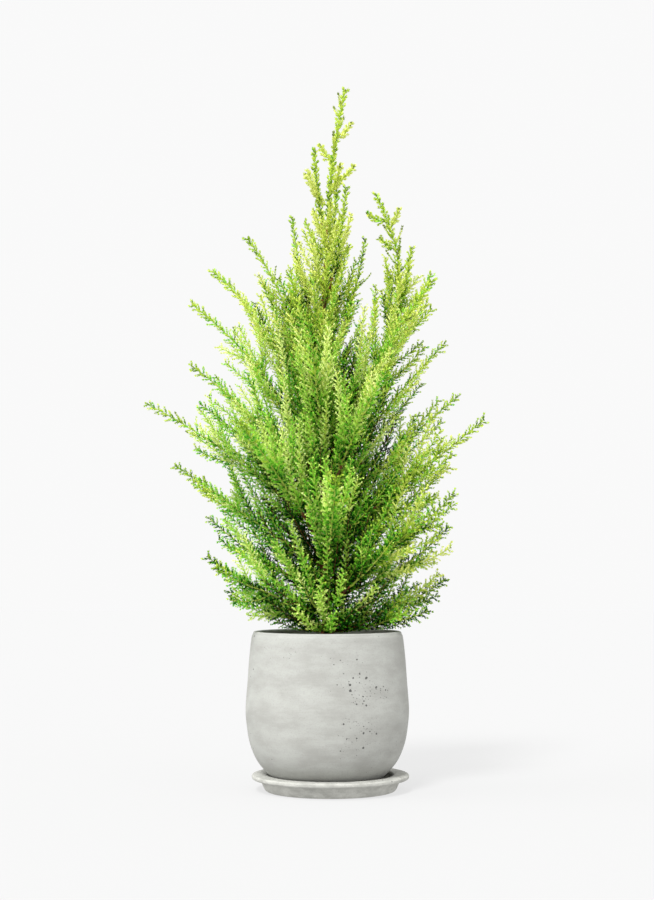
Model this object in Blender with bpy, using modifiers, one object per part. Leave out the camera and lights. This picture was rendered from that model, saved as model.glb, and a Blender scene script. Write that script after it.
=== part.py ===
"""Potted cypress: a young conical conifer with feathery juvenile foliage, in a rounded
concrete pot that stands in a concrete saucer.

Metres, +Z up. The origin is the centre of the saucer's flat underside, +X is the viewer's
right and the viewer looks along +Y. The trunk rises from the compost through the crown to
the leader. Limbs fan out from it: the lower ones as bare boughs that end where they enter
their mass of foliage, the upper ones clothed from the trunk. Each mass is one stem with
twigs, and the twigs carry flat toothed sprays of needles.
"""

import math

import bmesh
import bpy
import numpy as np
from mathutils import Matrix, Vector

GAP = 0.0003  # clearance between pieces that rest on or meet each other

# Pot, turned about its own axis, which stands a little left of the saucer's centre.
POT_X = -0.0038
POT_SIDES = 36
POT_RIM_Z = 0.1925
POT_RIM_R = 0.0912
POT_BELLY_Z = 0.0985
POT_BELLY_R = 0.100
POT_FOOT_R = 0.050
POT_WALL = 0.0075
POT_FLOOR = 0.012
FLOOR_CORNER = 0.012
RIM_ROUND = 0.0025
RIM_LEAN = 0.0012  # how much thinner the wall is at the rim

# Saucer: a shallow dish with an out-turned flange.
SAUCER_SIDES = 36
SAUCER_FLOOR = 0.0085
SAUCER_FOOT_R = 0.0796
SAUCER_WALL_R = 0.0864
SAUCER_HOLE_R = 0.0765
SAUCER_FLANGE_R = 0.0963
SAUCER_TOP_Z = 0.0197
SAUCER_CORNER = 0.004
FLANGE_THICK = 0.0058
EDGE_ROUND = 0.0015

# Compost: level with a low mound round the trunk's foot.
SOIL_MOUND_Z = 0.182
SOIL_EDGE_Z = 0.178
SOIL_MOUND_R = 0.016
SOIL_SLOPE_R = 0.036

# Trunk: its line from the compost to the leader's tip, and its radii.
TRUNK_FOOT_Z = SOIL_MOUND_Z + GAP
TRUNK_LINE = [
    (POT_X, 0.0, TRUNK_FOOT_Z),
    (-0.006, 0.002, 0.29),
    (-0.008, -0.002, 0.41),
    (-0.0104, 0.003, 0.55),
    (-0.0045, 0.0, 0.68),
    (0.002, 0.001, 0.77),
    (0.0184, 0.0, 0.868),
]
TRUNK_TOP_Z = 0.70
TRUNK_R = 0.0062
TRUNK_TOP_R = 0.0014
FLARE_R = 0.0042
FLARE_HEIGHT = 0.010

# Limbs. Their tips as (reach from the pot's axis, height), for those that make the outline
# on either side seen from the front. The rest follow a rule.
LEFT_TIPS = [
    (0.123, 0.240),
    (0.143, 0.283),
    (0.146, 0.331),
    (0.197, 0.402),
    (0.154, 0.468),
    (0.228, 0.477),
    (0.161, 0.509),
    (0.167, 0.595),
    (0.146, 0.648),
    (0.097, 0.672),
]
RIGHT_TIPS = [
    (0.120, 0.218),
    (0.149, 0.256),
    (0.148, 0.320),
    (0.150, 0.358),
    (0.148, 0.399),
    (0.190, 0.449),
    (0.168, 0.491),
    (0.146, 0.549),
    (0.128, 0.618),
]
SECOND_LEADER_TIP = (0.062, 0.739)
SECOND_LEADER_ROOT_Z = 0.418
SECOND_LEADER_TURN = math.radians(11)
SECOND_LEADER_BOW = 2.3  # how far out it swings before it turns up, as a share of its reach
OUTLINE_SWING = math.radians(33)  # how far the outline's limbs fan out to front and back
DEEP_LIMBS = 14  # limbs that point to the front and back
DEEP_LOW_Z, DEEP_HIGH_Z = 0.250, 0.650
DEEP_SWING = math.radians(46)  # how far they fan out from straight front or back
CROWN_R, CROWN_R_Z, CROWN_TAPER = 0.190, 0.43, 1.02
CREST_LIMBS = 5  # short ones close round the top of the trunk
CREST_ROOT_LOW_Z, CREST_ROOT_HIGH_Z = 0.51, 0.665
CREST_TIP_LOW_Z, CREST_TIP_HIGH_Z = 0.683, 0.788
CREST_REACH, CREST_TOP_REACH = 0.053, 0.030
CREST_TURN = math.radians(25)
ROOT_LOW_Z, ROOT_HIGH_Z, ROOT_SPACING = 0.1945, 0.43, 1.2
# A limb's bend by its tip's height: the low ones sweep out and up at their ends, the high
# ones rise first and then lean out. Those on the right lean out less.
BEND_HEIGHTS = [0.22, 0.34, 0.47, 0.70]
BENDS = [-0.5, -0.25, 0.25, 0.5]
RIGHT_BEND = -0.2
BEND_SHARE = 0.35
CREST_OUT, CREST_UP = 0.75, 0.45
GOLDEN_ANGLE = math.radians(137.508)
GOLDEN_RATIO = 0.618034

# Limb, twig and spray sizes.
BOUGHS = 16  # the lowest limbs have a bare bough
BOUGH_END = 0.27  # share of the limb that is bare
LIMB_ROOT_R = 0.0021
LIMB_TIP_R = 0.0007
ROOT_TO_TRUNK = 0.66  # a limb's radius at its root is at most this share of the trunk's
PATH_STEPS = 7
RINGS_APART = 0.04  # least share of a limb between two rings of its tube
STEM_END = 0.96  # share of a limb at which its stem ends inside the tip's spray
CORE_R = 0.0062  # the stem with the needles that clothe it, where there is room
CORE_SHARES = [0.10, 0.20, 0.85, 1.0]
CORE_WIDTHS = [0.0, 1.0, 0.6, 0.1]
TWIG_STEP = 0.0072  # the spacing of the living twigs, of which the solids show every fifth
TWIG_EVERY = 5
TWIG_FIRST, TWIG_LAST = 0.12, 0.93  # shares of a limb between which twigs stand
TWIG_ANGLE = math.radians(38)
TWIG_RISE = 0.18  # how much a twig's heading turns up
PLUME_HALF_WIDTH = 0.056
PLUME_ROOT, PLUME_SPREAD, PLUME_TAPER = 0.45, 2.5, 0.6
FULL_PLUME = 0.20  # limbs shorter than this have narrower plumes
TWIG_VARY = 0.15
TWIG_R = 0.0011
TWIG_TIP_R = 0.0006
TWIG_SHOWN = 0.38  # share of a twig that shows before its end spray hides it
TWIG_TURNS = 5  # roll angles that a twig tries before it shrinks, and then is left out
TWIG_SIZES = (1.0, 0.82, 0.66, 0.52)
SPRAY_FOOT = 0.20  # share of a twig at which its end spray starts
SPRAY_HALF_WIDTH = 0.21  # of its length
WIDEST_SPRAY = 0.016
SPRAY_THICK = 0.09  # of its length
THICKEST = 0.36  # share of a spray's length at which it is thickest
# Half the outline of a toothed spray from its tip to its foot, as (share of the length, share
# of the half width): of one on a twig, of one that stands on the stem, and of a small one.
TOOTHED = [(1.0, 0.0), (0.74, 0.38), (0.80, 0.70), (0.45, 0.52), (0.54, 1.0), (0.0, 0.0)]
STALKED = [*TOOTHED[:-1], (0.20, 0.14), (0.0, 0.0)]
SMALL = [(1.0, 0.0), (0.60, 0.42), (0.66, 1.0), (0.0, 0.0)]
SIDE_SPRAY_FOOT = 0.32
SIDE_SPRAY_REACH = 0.55
SIDE_SPRAY_SINK = 0.06
FORK_AHEAD, FORK_ASIDE = 0.8, 0.6
SMALLEST_SIDE_SPRAY = 0.033
TIP_SPRAY = 0.040
LONGEST_TIP = 0.3  # share of the limb that its tip's spray may take
BARE_START = 0.03  # share of the limb between its mass's foot and the first twig
CAP_WELD = 1e-6
CLEAR = 0.0012  # free space left between masses and round limbs
SEED = 11

MATERIALS = {
    "concrete": ((0.60, 0.60, 0.57), 0.85),
    "compost": ((0.055, 0.036, 0.024), 0.95),
    "bark": ((0.16, 0.085, 0.05), 0.8),
    "foliage": ((0.27, 0.46, 0.045), 0.55),
}


def clear_scene():
    for obj in list(bpy.data.objects):
        bpy.data.objects.remove(obj)


def material(name):
    found = bpy.data.materials.get(name)
    if found:
        return found
    colour, roughness = MATERIALS[name]
    made = bpy.data.materials.new(name)
    made.use_nodes = True
    shader = made.node_tree.nodes["Principled BSDF"]
    shader.inputs["Base Color"].default_value = (*colour, 1)
    shader.inputs["Roughness"].default_value = roughness
    return made


def collection(name):
    made = bpy.data.collections.new(name)
    bpy.context.scene.collection.children.link(made)
    return made


def add_object(name, data, group, finish=None):
    obj = bpy.data.objects.new(name, data)
    group.objects.link(obj)
    if finish:
        data.materials.append(material(finish))
    return obj


def turned(name, profile, sides, centre_x, group, finish):
    """A solid of revolution. The profile runs down its outer side, from axis to axis."""
    mesh = bpy.data.meshes.new(name)
    edges = [(i, i + 1) for i in range(len(profile) - 1)]
    mesh.from_pydata([(r, 0, z) for r, z in profile], edges, [])
    obj = add_object(name, mesh, group, finish)
    obj.location.x = centre_x
    screw = obj.modifiers.new("turn", "SCREW")
    screw.steps = screw.render_steps = sides
    screw.use_merge_vertices = True
    screw.merge_threshold = 1e-5
    screw.use_smooth_shade = True


def pot_outer():
    """The pot's outer side from below the rim's rounding to the foot, as (radius, height)."""
    rim_to_belly = [(0.0932, 0.184), (0.0958, 0.160), (0.0978, 0.131), (POT_BELLY_R, POT_BELLY_Z)]
    belly_to_foot = [(0.0985, 0.078), (0.0950, 0.058), (0.0875, 0.039), (0.0775, 0.0255), (0.0665, 0.0155)]
    return rim_to_belly + belly_to_foot + [(POT_FOOT_R, SAUCER_FLOOR + GAP)]


def pot_inner():
    """The pot's inner side from the middle of its floor to below the rim's rounding."""
    floor_z = SAUCER_FLOOR + GAP + POT_FLOOR
    side = [(r - POT_WALL, z) for r, z in reversed(pot_outer()[0:8:2])]
    return [(0.0, floor_z), (side[0][0] - FLOOR_CORNER, floor_z)] + side


def pot_rim():
    inner_r = POT_RIM_R - POT_WALL + RIM_LEAN
    return [
        (inner_r, POT_RIM_Z - RIM_ROUND),
        (inner_r + RIM_ROUND, POT_RIM_Z),
        (POT_RIM_R - RIM_ROUND, POT_RIM_Z),
        (POT_RIM_R, POT_RIM_Z - RIM_ROUND),
    ]


def make_pot(group):
    profile = pot_inner() + pot_rim() + pot_outer() + [(0.0, SAUCER_FLOOR + GAP)]
    turned("pot", profile, POT_SIDES, POT_X, group, "concrete")


def make_saucer(group):
    lip_z = SAUCER_TOP_Z - FLANGE_THICK
    profile = [
        (0.0, SAUCER_FLOOR),
        (SAUCER_HOLE_R - SAUCER_CORNER - EDGE_ROUND, SAUCER_FLOOR),
        (SAUCER_HOLE_R - EDGE_ROUND, SAUCER_FLOOR + SAUCER_CORNER),
        (SAUCER_HOLE_R, SAUCER_TOP_Z - EDGE_ROUND),
        (SAUCER_HOLE_R + EDGE_ROUND, SAUCER_TOP_Z),
        (SAUCER_FLANGE_R - EDGE_ROUND, SAUCER_TOP_Z),
        (SAUCER_FLANGE_R, SAUCER_TOP_Z - EDGE_ROUND),
        (SAUCER_FLANGE_R - GAP, lip_z + EDGE_ROUND),
        (SAUCER_FLANGE_R - 2 * EDGE_ROUND, lip_z),
        (SAUCER_WALL_R, lip_z),
        (SAUCER_FOOT_R, EDGE_ROUND),
        (SAUCER_FOOT_R - EDGE_ROUND, 0.0),
        (0.0, 0.0),
    ]
    turned("saucer", profile, SAUCER_SIDES, 0.0, group, "concrete")


def make_soil(group):
    """The compost fills the pot, one gap clear of its inner side."""
    inner = [(r, z) for r, z in pot_inner() if r > 0 and z < SOIL_EDGE_Z - 0.01]
    edge_r = float(np.interp(SOIL_EDGE_Z, *zip(*[(z, r) for r, z in pot_inner()[1:]]))) - GAP
    side = [(r - GAP, z + GAP) for r, z in reversed(inner)]
    floor = [(0.0, side[-1][1])]
    mound = [(0.0, SOIL_MOUND_Z), (SOIL_MOUND_R, SOIL_MOUND_Z)]
    slope = [(SOIL_SLOPE_R, SOIL_EDGE_Z), (edge_r, SOIL_EDGE_Z)]
    turned("compost", mound + slope + side + floor, POT_SIDES, POT_X, group, "compost")


def smooth_line(knots, count):
    """A Catmull-Rom line through the knots, as count points."""
    knots = np.asarray(knots, float)
    padded = np.vstack([2 * knots[0] - knots[1], knots, 2 * knots[-1] - knots[-2]])
    points = []
    for u in np.linspace(0, len(knots) - 1, count):
        i = min(int(u), len(knots) - 2)
        t = u - i
        a, b, c, d = padded[i : i + 4]
        cubic = (3 * b - a - 3 * c + d) * t**3 + (2 * a - 5 * b + 4 * c - d) * t**2
        points.append(0.5 * (2 * b + (c - a) * t + cubic))
    return np.array(points)


TRUNK_AXIS = smooth_line(TRUNK_LINE, 241)


def trunk_at(z):
    return np.array([np.interp(z, TRUNK_AXIS[:, 2], TRUNK_AXIS[:, k]) for k in range(3)])


def trunk_radius(z):
    share = (z - TRUNK_FOOT_Z) / (TRUNK_TOP_Z - TRUNK_FOOT_Z)
    flare = FLARE_R * np.exp(-(z - TRUNK_FOOT_Z) / FLARE_HEIGHT)
    return TRUNK_R + (TRUNK_TOP_R - TRUNK_R) * np.clip(share, 0, 1) ** 0.85 + flare


def arch(start, tip, out_share, up_share):
    """A limb's line: a quadratic Bezier whose middle control point lies part of the way out
    and part of the way up from the start to the tip."""
    start, tip = np.asarray(start), np.asarray(tip)
    middle = start + (tip - start) * np.array([out_share, out_share, up_share])
    t = np.linspace(0, 1, PATH_STEPS + 1)[:, None]
    return (1 - t) ** 2 * start + 2 * t * (1 - t) * middle + t**2 * tip


def reach_to(azimuth, reach, z):
    return np.array([POT_X + reach * math.cos(azimuth), reach * math.sin(azimuth), z])


def fan(k, phase):
    """The k-th of a run of numbers that fill the span from -1 to 1 evenly."""
    return 2 * ((k * GOLDEN_RATIO + phase) % 1) - 1


def outline_tips():
    """(name, azimuth, reach, tip height) of the limbs that make the outline."""
    for side, azimuth, tips in (("left", math.pi, LEFT_TIPS), ("right", 0.0, RIGHT_TIPS)):
        for k, (reach, z) in enumerate(tips):
            turn = OUTLINE_SWING * fan(k + 2, 0.0)
            yield f"{side}_{k + 1}", azimuth + turn, reach / math.cos(turn), z


def deep_tips():
    """(name, azimuth, reach, tip height) of the limbs that point to the front and back."""
    for k in range(DEEP_LIMBS):
        z = DEEP_LOW_Z + (DEEP_HIGH_Z - DEEP_LOW_Z) * k / (DEEP_LIMBS - 1)
        side, ahead, phase = ("front", -math.pi / 2, 0.3) if k % 2 == 0 else ("back", math.pi / 2, 0.8)
        reach = CROWN_R - CROWN_TAPER * abs(z - CROWN_R_Z) ** 1.35
        yield f"{side}_{k // 2 + 1}", ahead + DEEP_SWING * fan(k // 2, phase), reach, z


def spread_limbs():
    """The limbs from the lowest to the highest, each with its line from the trunk's axis."""
    tips = sorted([*outline_tips(), *deep_tips()], key=lambda row: row[3] - 0.35 * row[2])
    limbs = []
    for i, (name, azimuth, reach, z) in enumerate(tips):
        share = (i / (len(tips) - 1)) ** ROOT_SPACING
        root_z = ROOT_LOW_Z + (ROOT_HIGH_Z - ROOT_LOW_Z) * share
        bend = np.interp(z, BEND_HEIGHTS, BENDS) + (RIGHT_BEND if name.startswith("right") else 0)
        rise = BEND_SHARE * bend
        line = arch(trunk_at(root_z), reach_to(azimuth, reach, z), 0.5 - rise, 0.5 + rise)
        limbs.append({"name": name, "line": line, "bough": i < BOUGHS})
    return limbs


def second_leader():
    reach, z = SECOND_LEADER_TIP
    tip = reach_to(SECOND_LEADER_TURN, reach, z)
    line = arch(trunk_at(SECOND_LEADER_ROOT_Z), tip, SECOND_LEADER_BOW, 0.5)
    return {"name": "second_leader", "line": line, "bough": False}


def crest_limbs():
    limbs = []
    for k in range(CREST_LIMBS):
        share = k / (CREST_LIMBS - 1)
        root_z = CREST_ROOT_LOW_Z + (CREST_ROOT_HIGH_Z - CREST_ROOT_LOW_Z) * share
        tip_z = CREST_TIP_LOW_Z + (CREST_TIP_HIGH_Z - CREST_TIP_LOW_Z) * share
        reach = CREST_REACH + (CREST_TOP_REACH - CREST_REACH) * share
        tip = reach_to(CREST_TURN + k * GOLDEN_ANGLE, reach, tip_z)
        tip[0] += trunk_at(tip_z)[0] - POT_X
        line = arch(trunk_at(root_z), tip, CREST_OUT, CREST_UP)
        limbs.append({"name": f"crest_{k + 1}", "line": line, "bough": False})
    return limbs


def leader():
    line = np.array([trunk_at(z) for z in np.linspace(TRUNK_TOP_Z, TRUNK_LINE[-1][2], PATH_STEPS + 1)])
    return {"name": "leader", "line": line, "bough": False}


def all_limbs():
    return [*spread_limbs(), second_leader(), *crest_limbs(), leader()]


def length_of(line):
    return float(np.linalg.norm(np.diff(line, axis=0), axis=1).sum())


def along(line, share):
    """The point and the unit direction at a share of a line's length."""
    steps = np.linalg.norm(np.diff(line, axis=0), axis=1)
    run = np.concatenate([[0], np.cumsum(steps)]) / steps.sum()
    point = np.array([np.interp(share, run, line[:, k]) for k in range(3)])
    i = min(int(np.searchsorted(run, share)), len(line) - 1)
    ahead = line[max(i, 1)] - line[max(i, 1) - 1]
    return point, ahead / np.linalg.norm(ahead)


def ring_shares(line, first, last):
    """The shares of a line's length at which it bends, between two others."""
    run = np.concatenate([[0], np.cumsum(np.linalg.norm(np.diff(line, axis=0), axis=1))])
    inside = [s for s in run / run[-1] if first + RINGS_APART < s < last - RINGS_APART]
    return np.array([first, *inside, last])


def limb_radius(line, share):
    root_r = min(LIMB_ROOT_R, ROOT_TO_TRUNK * float(trunk_radius(line[0][2])))
    return root_r + (LIMB_TIP_R - root_r) * share**0.8


def plume_width(share, length):
    """Half the width of a limb's foliage at a share of its length."""
    widest = PLUME_HALF_WIDTH * min(1.0, length / FULL_PLUME)
    rise = min(1.0, PLUME_ROOT + PLUME_SPREAD * max(share - TWIG_FIRST, 0))
    return widest * rise * (1 - share) ** PLUME_TAPER


def twig_at(limb_index, line, length, k):
    """Root, heading at every roll angle in turn, reach and side normal of twig k of a limb."""
    share = TWIG_FIRST + k * TWIG_STEP / length
    rng = np.random.default_rng([SEED, limb_index, k])
    root, ahead = along(line, share)
    side = np.cross(ahead, (0.0, 0.0, 1.0))
    side /= np.linalg.norm(side) + 1e-9
    over = np.cross(side, ahead)
    spread = TWIG_ANGLE * rng.uniform(1 - TWIG_VARY, 1 + TWIG_VARY)
    headings = []
    for turn in range(TWIG_TURNS):
        roll = (k + turn) * GOLDEN_ANGLE + limb_index
        outward = math.cos(roll) * side + math.sin(roll) * over
        heading = math.cos(spread) * ahead + math.sin(spread) * outward + np.array([0, 0, TWIG_RISE])
        headings.append(heading / np.linalg.norm(heading))
    reach = plume_width(share, length) / math.sin(spread) * rng.uniform(1 - TWIG_VARY, 1 + TWIG_VARY)
    return root, headings, reach, rng.normal(size=3)


def twig_count(length):
    return int((TWIG_LAST - TWIG_FIRST) * length / TWIG_STEP)


def drop_scraps(work):
    """Keep only the largest of a mesh's loose pieces."""
    loose = set(work.verts)
    pieces = []
    while loose:
        piece, edge = set(), {loose.pop()}
        while edge:
            piece |= edge
            edge = {e.other_vert(v) for v in edge for e in v.link_edges} - piece
        loose -= piece
        pieces.append(piece)
    pieces.sort(key=len)
    scraps = [v for piece in pieces[:-1] for v in piece]
    bmesh.ops.delete(work, geom=scraps, context="VERTS")


def mesh_object(obj, name, group, finish=None, weld=0.0):
    """The object as the viewport shows it, as one plain mesh. The first one is removed."""
    graph = bpy.context.evaluated_depsgraph_get()
    mesh = bpy.data.meshes.new_from_object(obj.evaluated_get(graph))
    work = bmesh.new()
    work.from_mesh(mesh)
    if weld:
        bmesh.ops.remove_doubles(work, verts=work.verts, dist=weld)
    drop_scraps(work)
    work.to_mesh(mesh)
    work.free()
    place = obj.matrix_world.copy()
    bpy.data.objects.remove(obj)
    mesh.materials.clear()
    made = add_object(name, mesh, group, finish)
    made.matrix_world = place
    return made


def tube(name, points, radii, bevel_resolution, group, finish=None):
    """A round limb of changing radius with flat ends."""
    curve = bpy.data.curves.new(name, "CURVE")
    curve.dimensions = "3D"
    curve.bevel_depth = 1.0
    curve.bevel_resolution = bevel_resolution
    curve.use_fill_caps = True
    spline = curve.splines.new("POLY")
    spline.points.add(len(points) - 1)
    for knot, point, radius in zip(spline.points, points, radii):
        knot.co = (*point, 1)
        knot.radius = radius
    shaped = add_object(name + "_curve", curve, group)
    bpy.context.view_layer.update()
    return mesh_object(shaped, name, group, finish, CAP_WELD)


def trunk_tube(name, extra, group, finish=None):
    heights = TRUNK_FOOT_Z + (TRUNK_TOP_Z - TRUNK_FOOT_Z) * np.linspace(0, 1, 15) ** 1.5
    points = [trunk_at(z) for z in heights]
    radii = [trunk_radius(z) + extra for z in heights]
    return tube(name, points, radii, 2, group, finish)


def boolean(obj, operation, cutter=None, pieces=None):
    change = obj.modifiers.new(operation.lower(), "BOOLEAN")
    change.operation = operation
    change.solver = "EXACT"
    if pieces:
        change.operand_type = "COLLECTION"
        change.collection = pieces
    else:
        change.object = cutter


def along_axis(start, end):
    """The matrix that puts a shape built on +Z from the origin between two points."""
    start, end = Vector(start), Vector(end)
    turn = (end - start).to_track_quat("Z", "Y").to_matrix().to_4x4()
    return Matrix.Translation(start) @ turn


def twig_solid(start, end, group):
    """A three-sided tapering twig."""
    work = bmesh.new()
    depth = (Vector(end) - Vector(start)).length
    lift = Matrix.Translation((0, 0, depth / 2))
    bmesh.ops.create_cone(
        work, cap_ends=True, segments=3, radius1=TWIG_R, radius2=TWIG_TIP_R, depth=depth, matrix=lift
    )
    mesh = bpy.data.meshes.new("twig")
    work.to_mesh(mesh)
    work.free()
    twig = add_object("twig", mesh, group)
    twig.matrix_world = along_axis(start, end)


def spray_points(start, end, normal, outline):
    """A toothed spray's outline in space, and its two thickest points."""
    start, end = np.asarray(start), np.asarray(end)
    length = np.linalg.norm(end - start)
    ahead = (end - start) / length
    flat = normal - ahead * (normal @ ahead)
    flat /= np.linalg.norm(flat)
    side = np.cross(flat, ahead)
    rows = outline + [(s, -w) for s, w in reversed(outline[1:-1])]
    width = min(SPRAY_HALF_WIDTH * length, WIDEST_SPRAY)
    ring = np.array([start + ahead * (s * length) + side * (w * width) for s, w in rows])
    middle = start + ahead * (THICKEST * length)
    rise = flat * (0.5 * SPRAY_THICK * length)
    return ring, middle + rise, middle - rise


def spray_solid(ring, upper, lower, group):
    """A flat toothed spray: a ball of one ring and two poles, drawn out to the outline."""
    work = bmesh.new()
    bmesh.ops.create_uvsphere(work, u_segments=len(ring), v_segments=2, radius=1)
    poles = sorted(work.verts, key=lambda v: v.co.z)
    poles[0].co, poles[-1].co = lower, upper
    for vert, place in zip(sorted(poles[1:-1], key=lambda v: -math.atan2(v.co.y, v.co.x)), ring):
        vert.co = place
    bmesh.ops.recalc_face_normals(work, faces=work.faces)
    mesh = bpy.data.meshes.new("spray")
    work.to_mesh(mesh)
    work.free()
    add_object("spray", mesh, group)


class Room:
    """Knows each mass's own space: nearer to its limb than to any other, and clear of every
    limb, the trunk and the pot."""

    def __init__(self, limbs):
        shares = np.linspace(0, 1, 61)
        self.lines = np.array([[along(limb["line"], s)[0] for s in shares] for limb in limbs])
        self.trunk = TRUNK_AXIS[TRUNK_AXIS[:, 2] <= TRUNK_TOP_Z + 0.004]
        self.trunk_radii = np.array([trunk_radius(z) for z in self.trunk[:, 2]])

    def from_trunk(self, points):
        away = np.linalg.norm(points[:, None] - self.trunk[None], axis=2)
        return (away - self.trunk_radii).min(axis=1)

    def from_limbs(self, points):
        away = points[:, None, None] - self.lines[None]
        return np.linalg.norm(away, axis=3).min(axis=2)

    def holds(self, index, points):
        points = np.asarray(points)
        if points[:, 2].min() < POT_RIM_Z + 2 * CLEAR:
            return False
        if self.from_trunk(points).min() < CLEAR:
            return False
        away = self.from_limbs(points)
        own = away[:, index]
        others = np.delete(away, index, axis=1).min(axis=1)
        return bool((others > own + CLEAR).all() and others.min() > LIMB_ROOT_R + CLEAR)

    def core_radii(self, index, line, shares):
        """The radius of a mass's stem at each share: wider where needles clothe it, as far as
        half way to the next limb and not to the trunk."""
        bare = limb_radius(line, shares)
        points = np.array([along(line, s)[0] for s in shares])
        others = np.delete(self.from_limbs(points), index, axis=1).min(axis=1)
        free = np.minimum(others / 2 - CLEAR, self.from_trunk(points) - CLEAR)
        clothed = np.interp(shares, CORE_SHARES, CORE_WIDTHS)
        radii = np.maximum(bare, np.minimum(CORE_R * clothed, free))
        radii[0] = bare[0]
        return radii


def with_middles(ring):
    return np.vstack([ring, (ring + np.roll(ring, 1, axis=0)) / 2])


def fitting_twig(room, index, root, headings, reach, normal, foot_share, outline):
    """The tip and end spray of the largest twig that stays in the mass's space, or None."""
    for size in TWIG_SIZES:
        for heading in headings:
            tip = root + heading * (reach * size)
            foot = root + heading * (reach * size * foot_share)
            spray = spray_points(foot, tip, normal, outline)
            if room.holds(index, [*np.linspace(root, tip, 6), *with_middles(spray[0]), *spray[1:]]):
                return tip, spray
    return None


def add_twig(room, index, root, tip, spray, normal, hand, pieces):
    """A twig with a toothed spray at its end and, where there is room, a smaller one beside it."""
    reach = tip - root
    length = np.linalg.norm(reach)
    twig_solid(root, root + TWIG_SHOWN * reach, pieces)
    spray_solid(*spray, pieces)
    across = np.cross(normal, reach / length)
    across /= np.linalg.norm(across)
    start = root + SIDE_SPRAY_FOOT * reach
    heading = FORK_AHEAD * reach / length + FORK_ASIDE * hand * across
    end = start + heading * length * SIDE_SPRAY_REACH
    if np.linalg.norm(end - start) < SMALLEST_SIDE_SPRAY:
        return
    start -= heading * SIDE_SPRAY_SINK * length
    ring, upper, lower = spray_points(start, end, normal + 0.5 * across, SMALL)
    if room.holds(index, [*with_middles(ring), upper, lower]):
        spray_solid(ring, upper, lower, pieces)


def mass_solid(limbs, index, room, group, trunk_cutter):
    """One mass of foliage: its stem, twigs and sprays joined into one solid."""
    limb = limbs[index]
    line = limb["line"]
    length = length_of(line)
    name = "foliage_" + limb["name"]
    is_leader = limb["name"] == "leader"
    first = 0.0
    if is_leader or limb["bough"]:
        first = GAP / length + (BOUGH_END if limb["bough"] else 0.0)
    shares = ring_shares(line, first, STEM_END)
    stem = tube(name, [along(line, s)[0] for s in shares], room.core_radii(index, line, shares), 0, group)
    if not (is_leader or limb["bough"]):
        boolean(stem, "DIFFERENCE", cutter=trunk_cutter)
        stem = mesh_object(stem, name, group)
    pieces = collection(name + "_pieces")
    tip, ahead = along(line, 1.0)
    tip_normal = np.cross(np.cross(ahead, (0, 0, 1)), ahead)
    tip_foot = tip - ahead * min(TIP_SPRAY, LONGEST_TIP * length)
    spray_solid(*spray_points(tip_foot, tip, tip_normal, TOOTHED), pieces)
    hand = 1
    for k in range(0, twig_count(length), TWIG_EVERY):
        root, headings, reach, normal = twig_at(index, line, length, k)
        if TWIG_FIRST + k * TWIG_STEP / length < first + BARE_START:
            continue
        forked = k // TWIG_EVERY % 2 == 0
        foot_share, outline = (SPRAY_FOOT, TOOTHED) if forked else (0.0, STALKED)
        found = fitting_twig(room, index, root, headings, reach, normal, foot_share, outline)
        if found and forked:
            add_twig(room, index, root, *found, normal, hand, pieces)
            hand = -hand
        elif found:
            spray_solid(*found[1], pieces)
    boolean(stem, "UNION", pieces=pieces)
    mesh_object(stem, name, group, "foliage")
    for obj in list(pieces.objects):
        bpy.data.objects.remove(obj)
    bpy.data.collections.remove(pieces)


def bough_solid(limb, group, trunk_cutter):
    line = limb["line"]
    shares = ring_shares(line, 0.0, BOUGH_END)
    points = [along(line, s)[0] for s in shares]
    bough = tube("bough_" + limb["name"], points, limb_radius(line, shares), 1, group, "bark")
    boolean(bough, "DIFFERENCE", cutter=trunk_cutter)


def main():
    clear_scene()
    group = collection("potted_cypress")
    cutters = collection("cutters")
    make_saucer(group)
    make_pot(group)
    make_soil(group)
    trunk_tube("trunk", 0.0, group, "bark")
    trunk_cutter = trunk_tube("trunk_clearance", GAP, cutters)
    trunk_cutter.hide_render = True
    trunk_cutter.display_type = "WIRE"
    limbs = all_limbs()
    room = Room(limbs)
    for index, limb in enumerate(limbs):
        if limb["bough"]:
            bough_solid(limb, group, trunk_cutter)
        mass_solid(limbs, index, room, group, trunk_cutter)


main()
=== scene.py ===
import math
from types import SimpleNamespace

import bpy
import numpy as np
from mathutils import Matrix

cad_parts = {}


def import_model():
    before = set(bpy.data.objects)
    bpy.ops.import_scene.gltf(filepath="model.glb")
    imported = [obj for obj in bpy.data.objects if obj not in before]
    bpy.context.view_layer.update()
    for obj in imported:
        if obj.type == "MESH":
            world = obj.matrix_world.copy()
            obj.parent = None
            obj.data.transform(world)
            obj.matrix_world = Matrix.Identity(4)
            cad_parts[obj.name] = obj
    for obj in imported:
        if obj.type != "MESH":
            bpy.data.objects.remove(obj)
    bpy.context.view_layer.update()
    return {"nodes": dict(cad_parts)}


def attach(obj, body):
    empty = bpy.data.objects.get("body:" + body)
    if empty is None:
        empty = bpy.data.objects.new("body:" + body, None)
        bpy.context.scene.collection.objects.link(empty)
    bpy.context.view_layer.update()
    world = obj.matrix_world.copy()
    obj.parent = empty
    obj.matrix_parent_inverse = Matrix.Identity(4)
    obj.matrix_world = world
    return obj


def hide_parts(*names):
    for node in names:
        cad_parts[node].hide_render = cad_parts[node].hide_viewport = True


# Looks of the potted cypress: needles, shoots and woody stems grown by the rule of the solids,
# concrete pot and saucer, crumbly compost, and a plain light studio. Metres, +Z up. A curve
# is a list of heights, reaches or shares, and the list of the values there.

GAP = 0.0003
TINY = 1e-12  # added to a length before something is divided by it
UP = (0.0, 0.0, 1.0)

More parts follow.
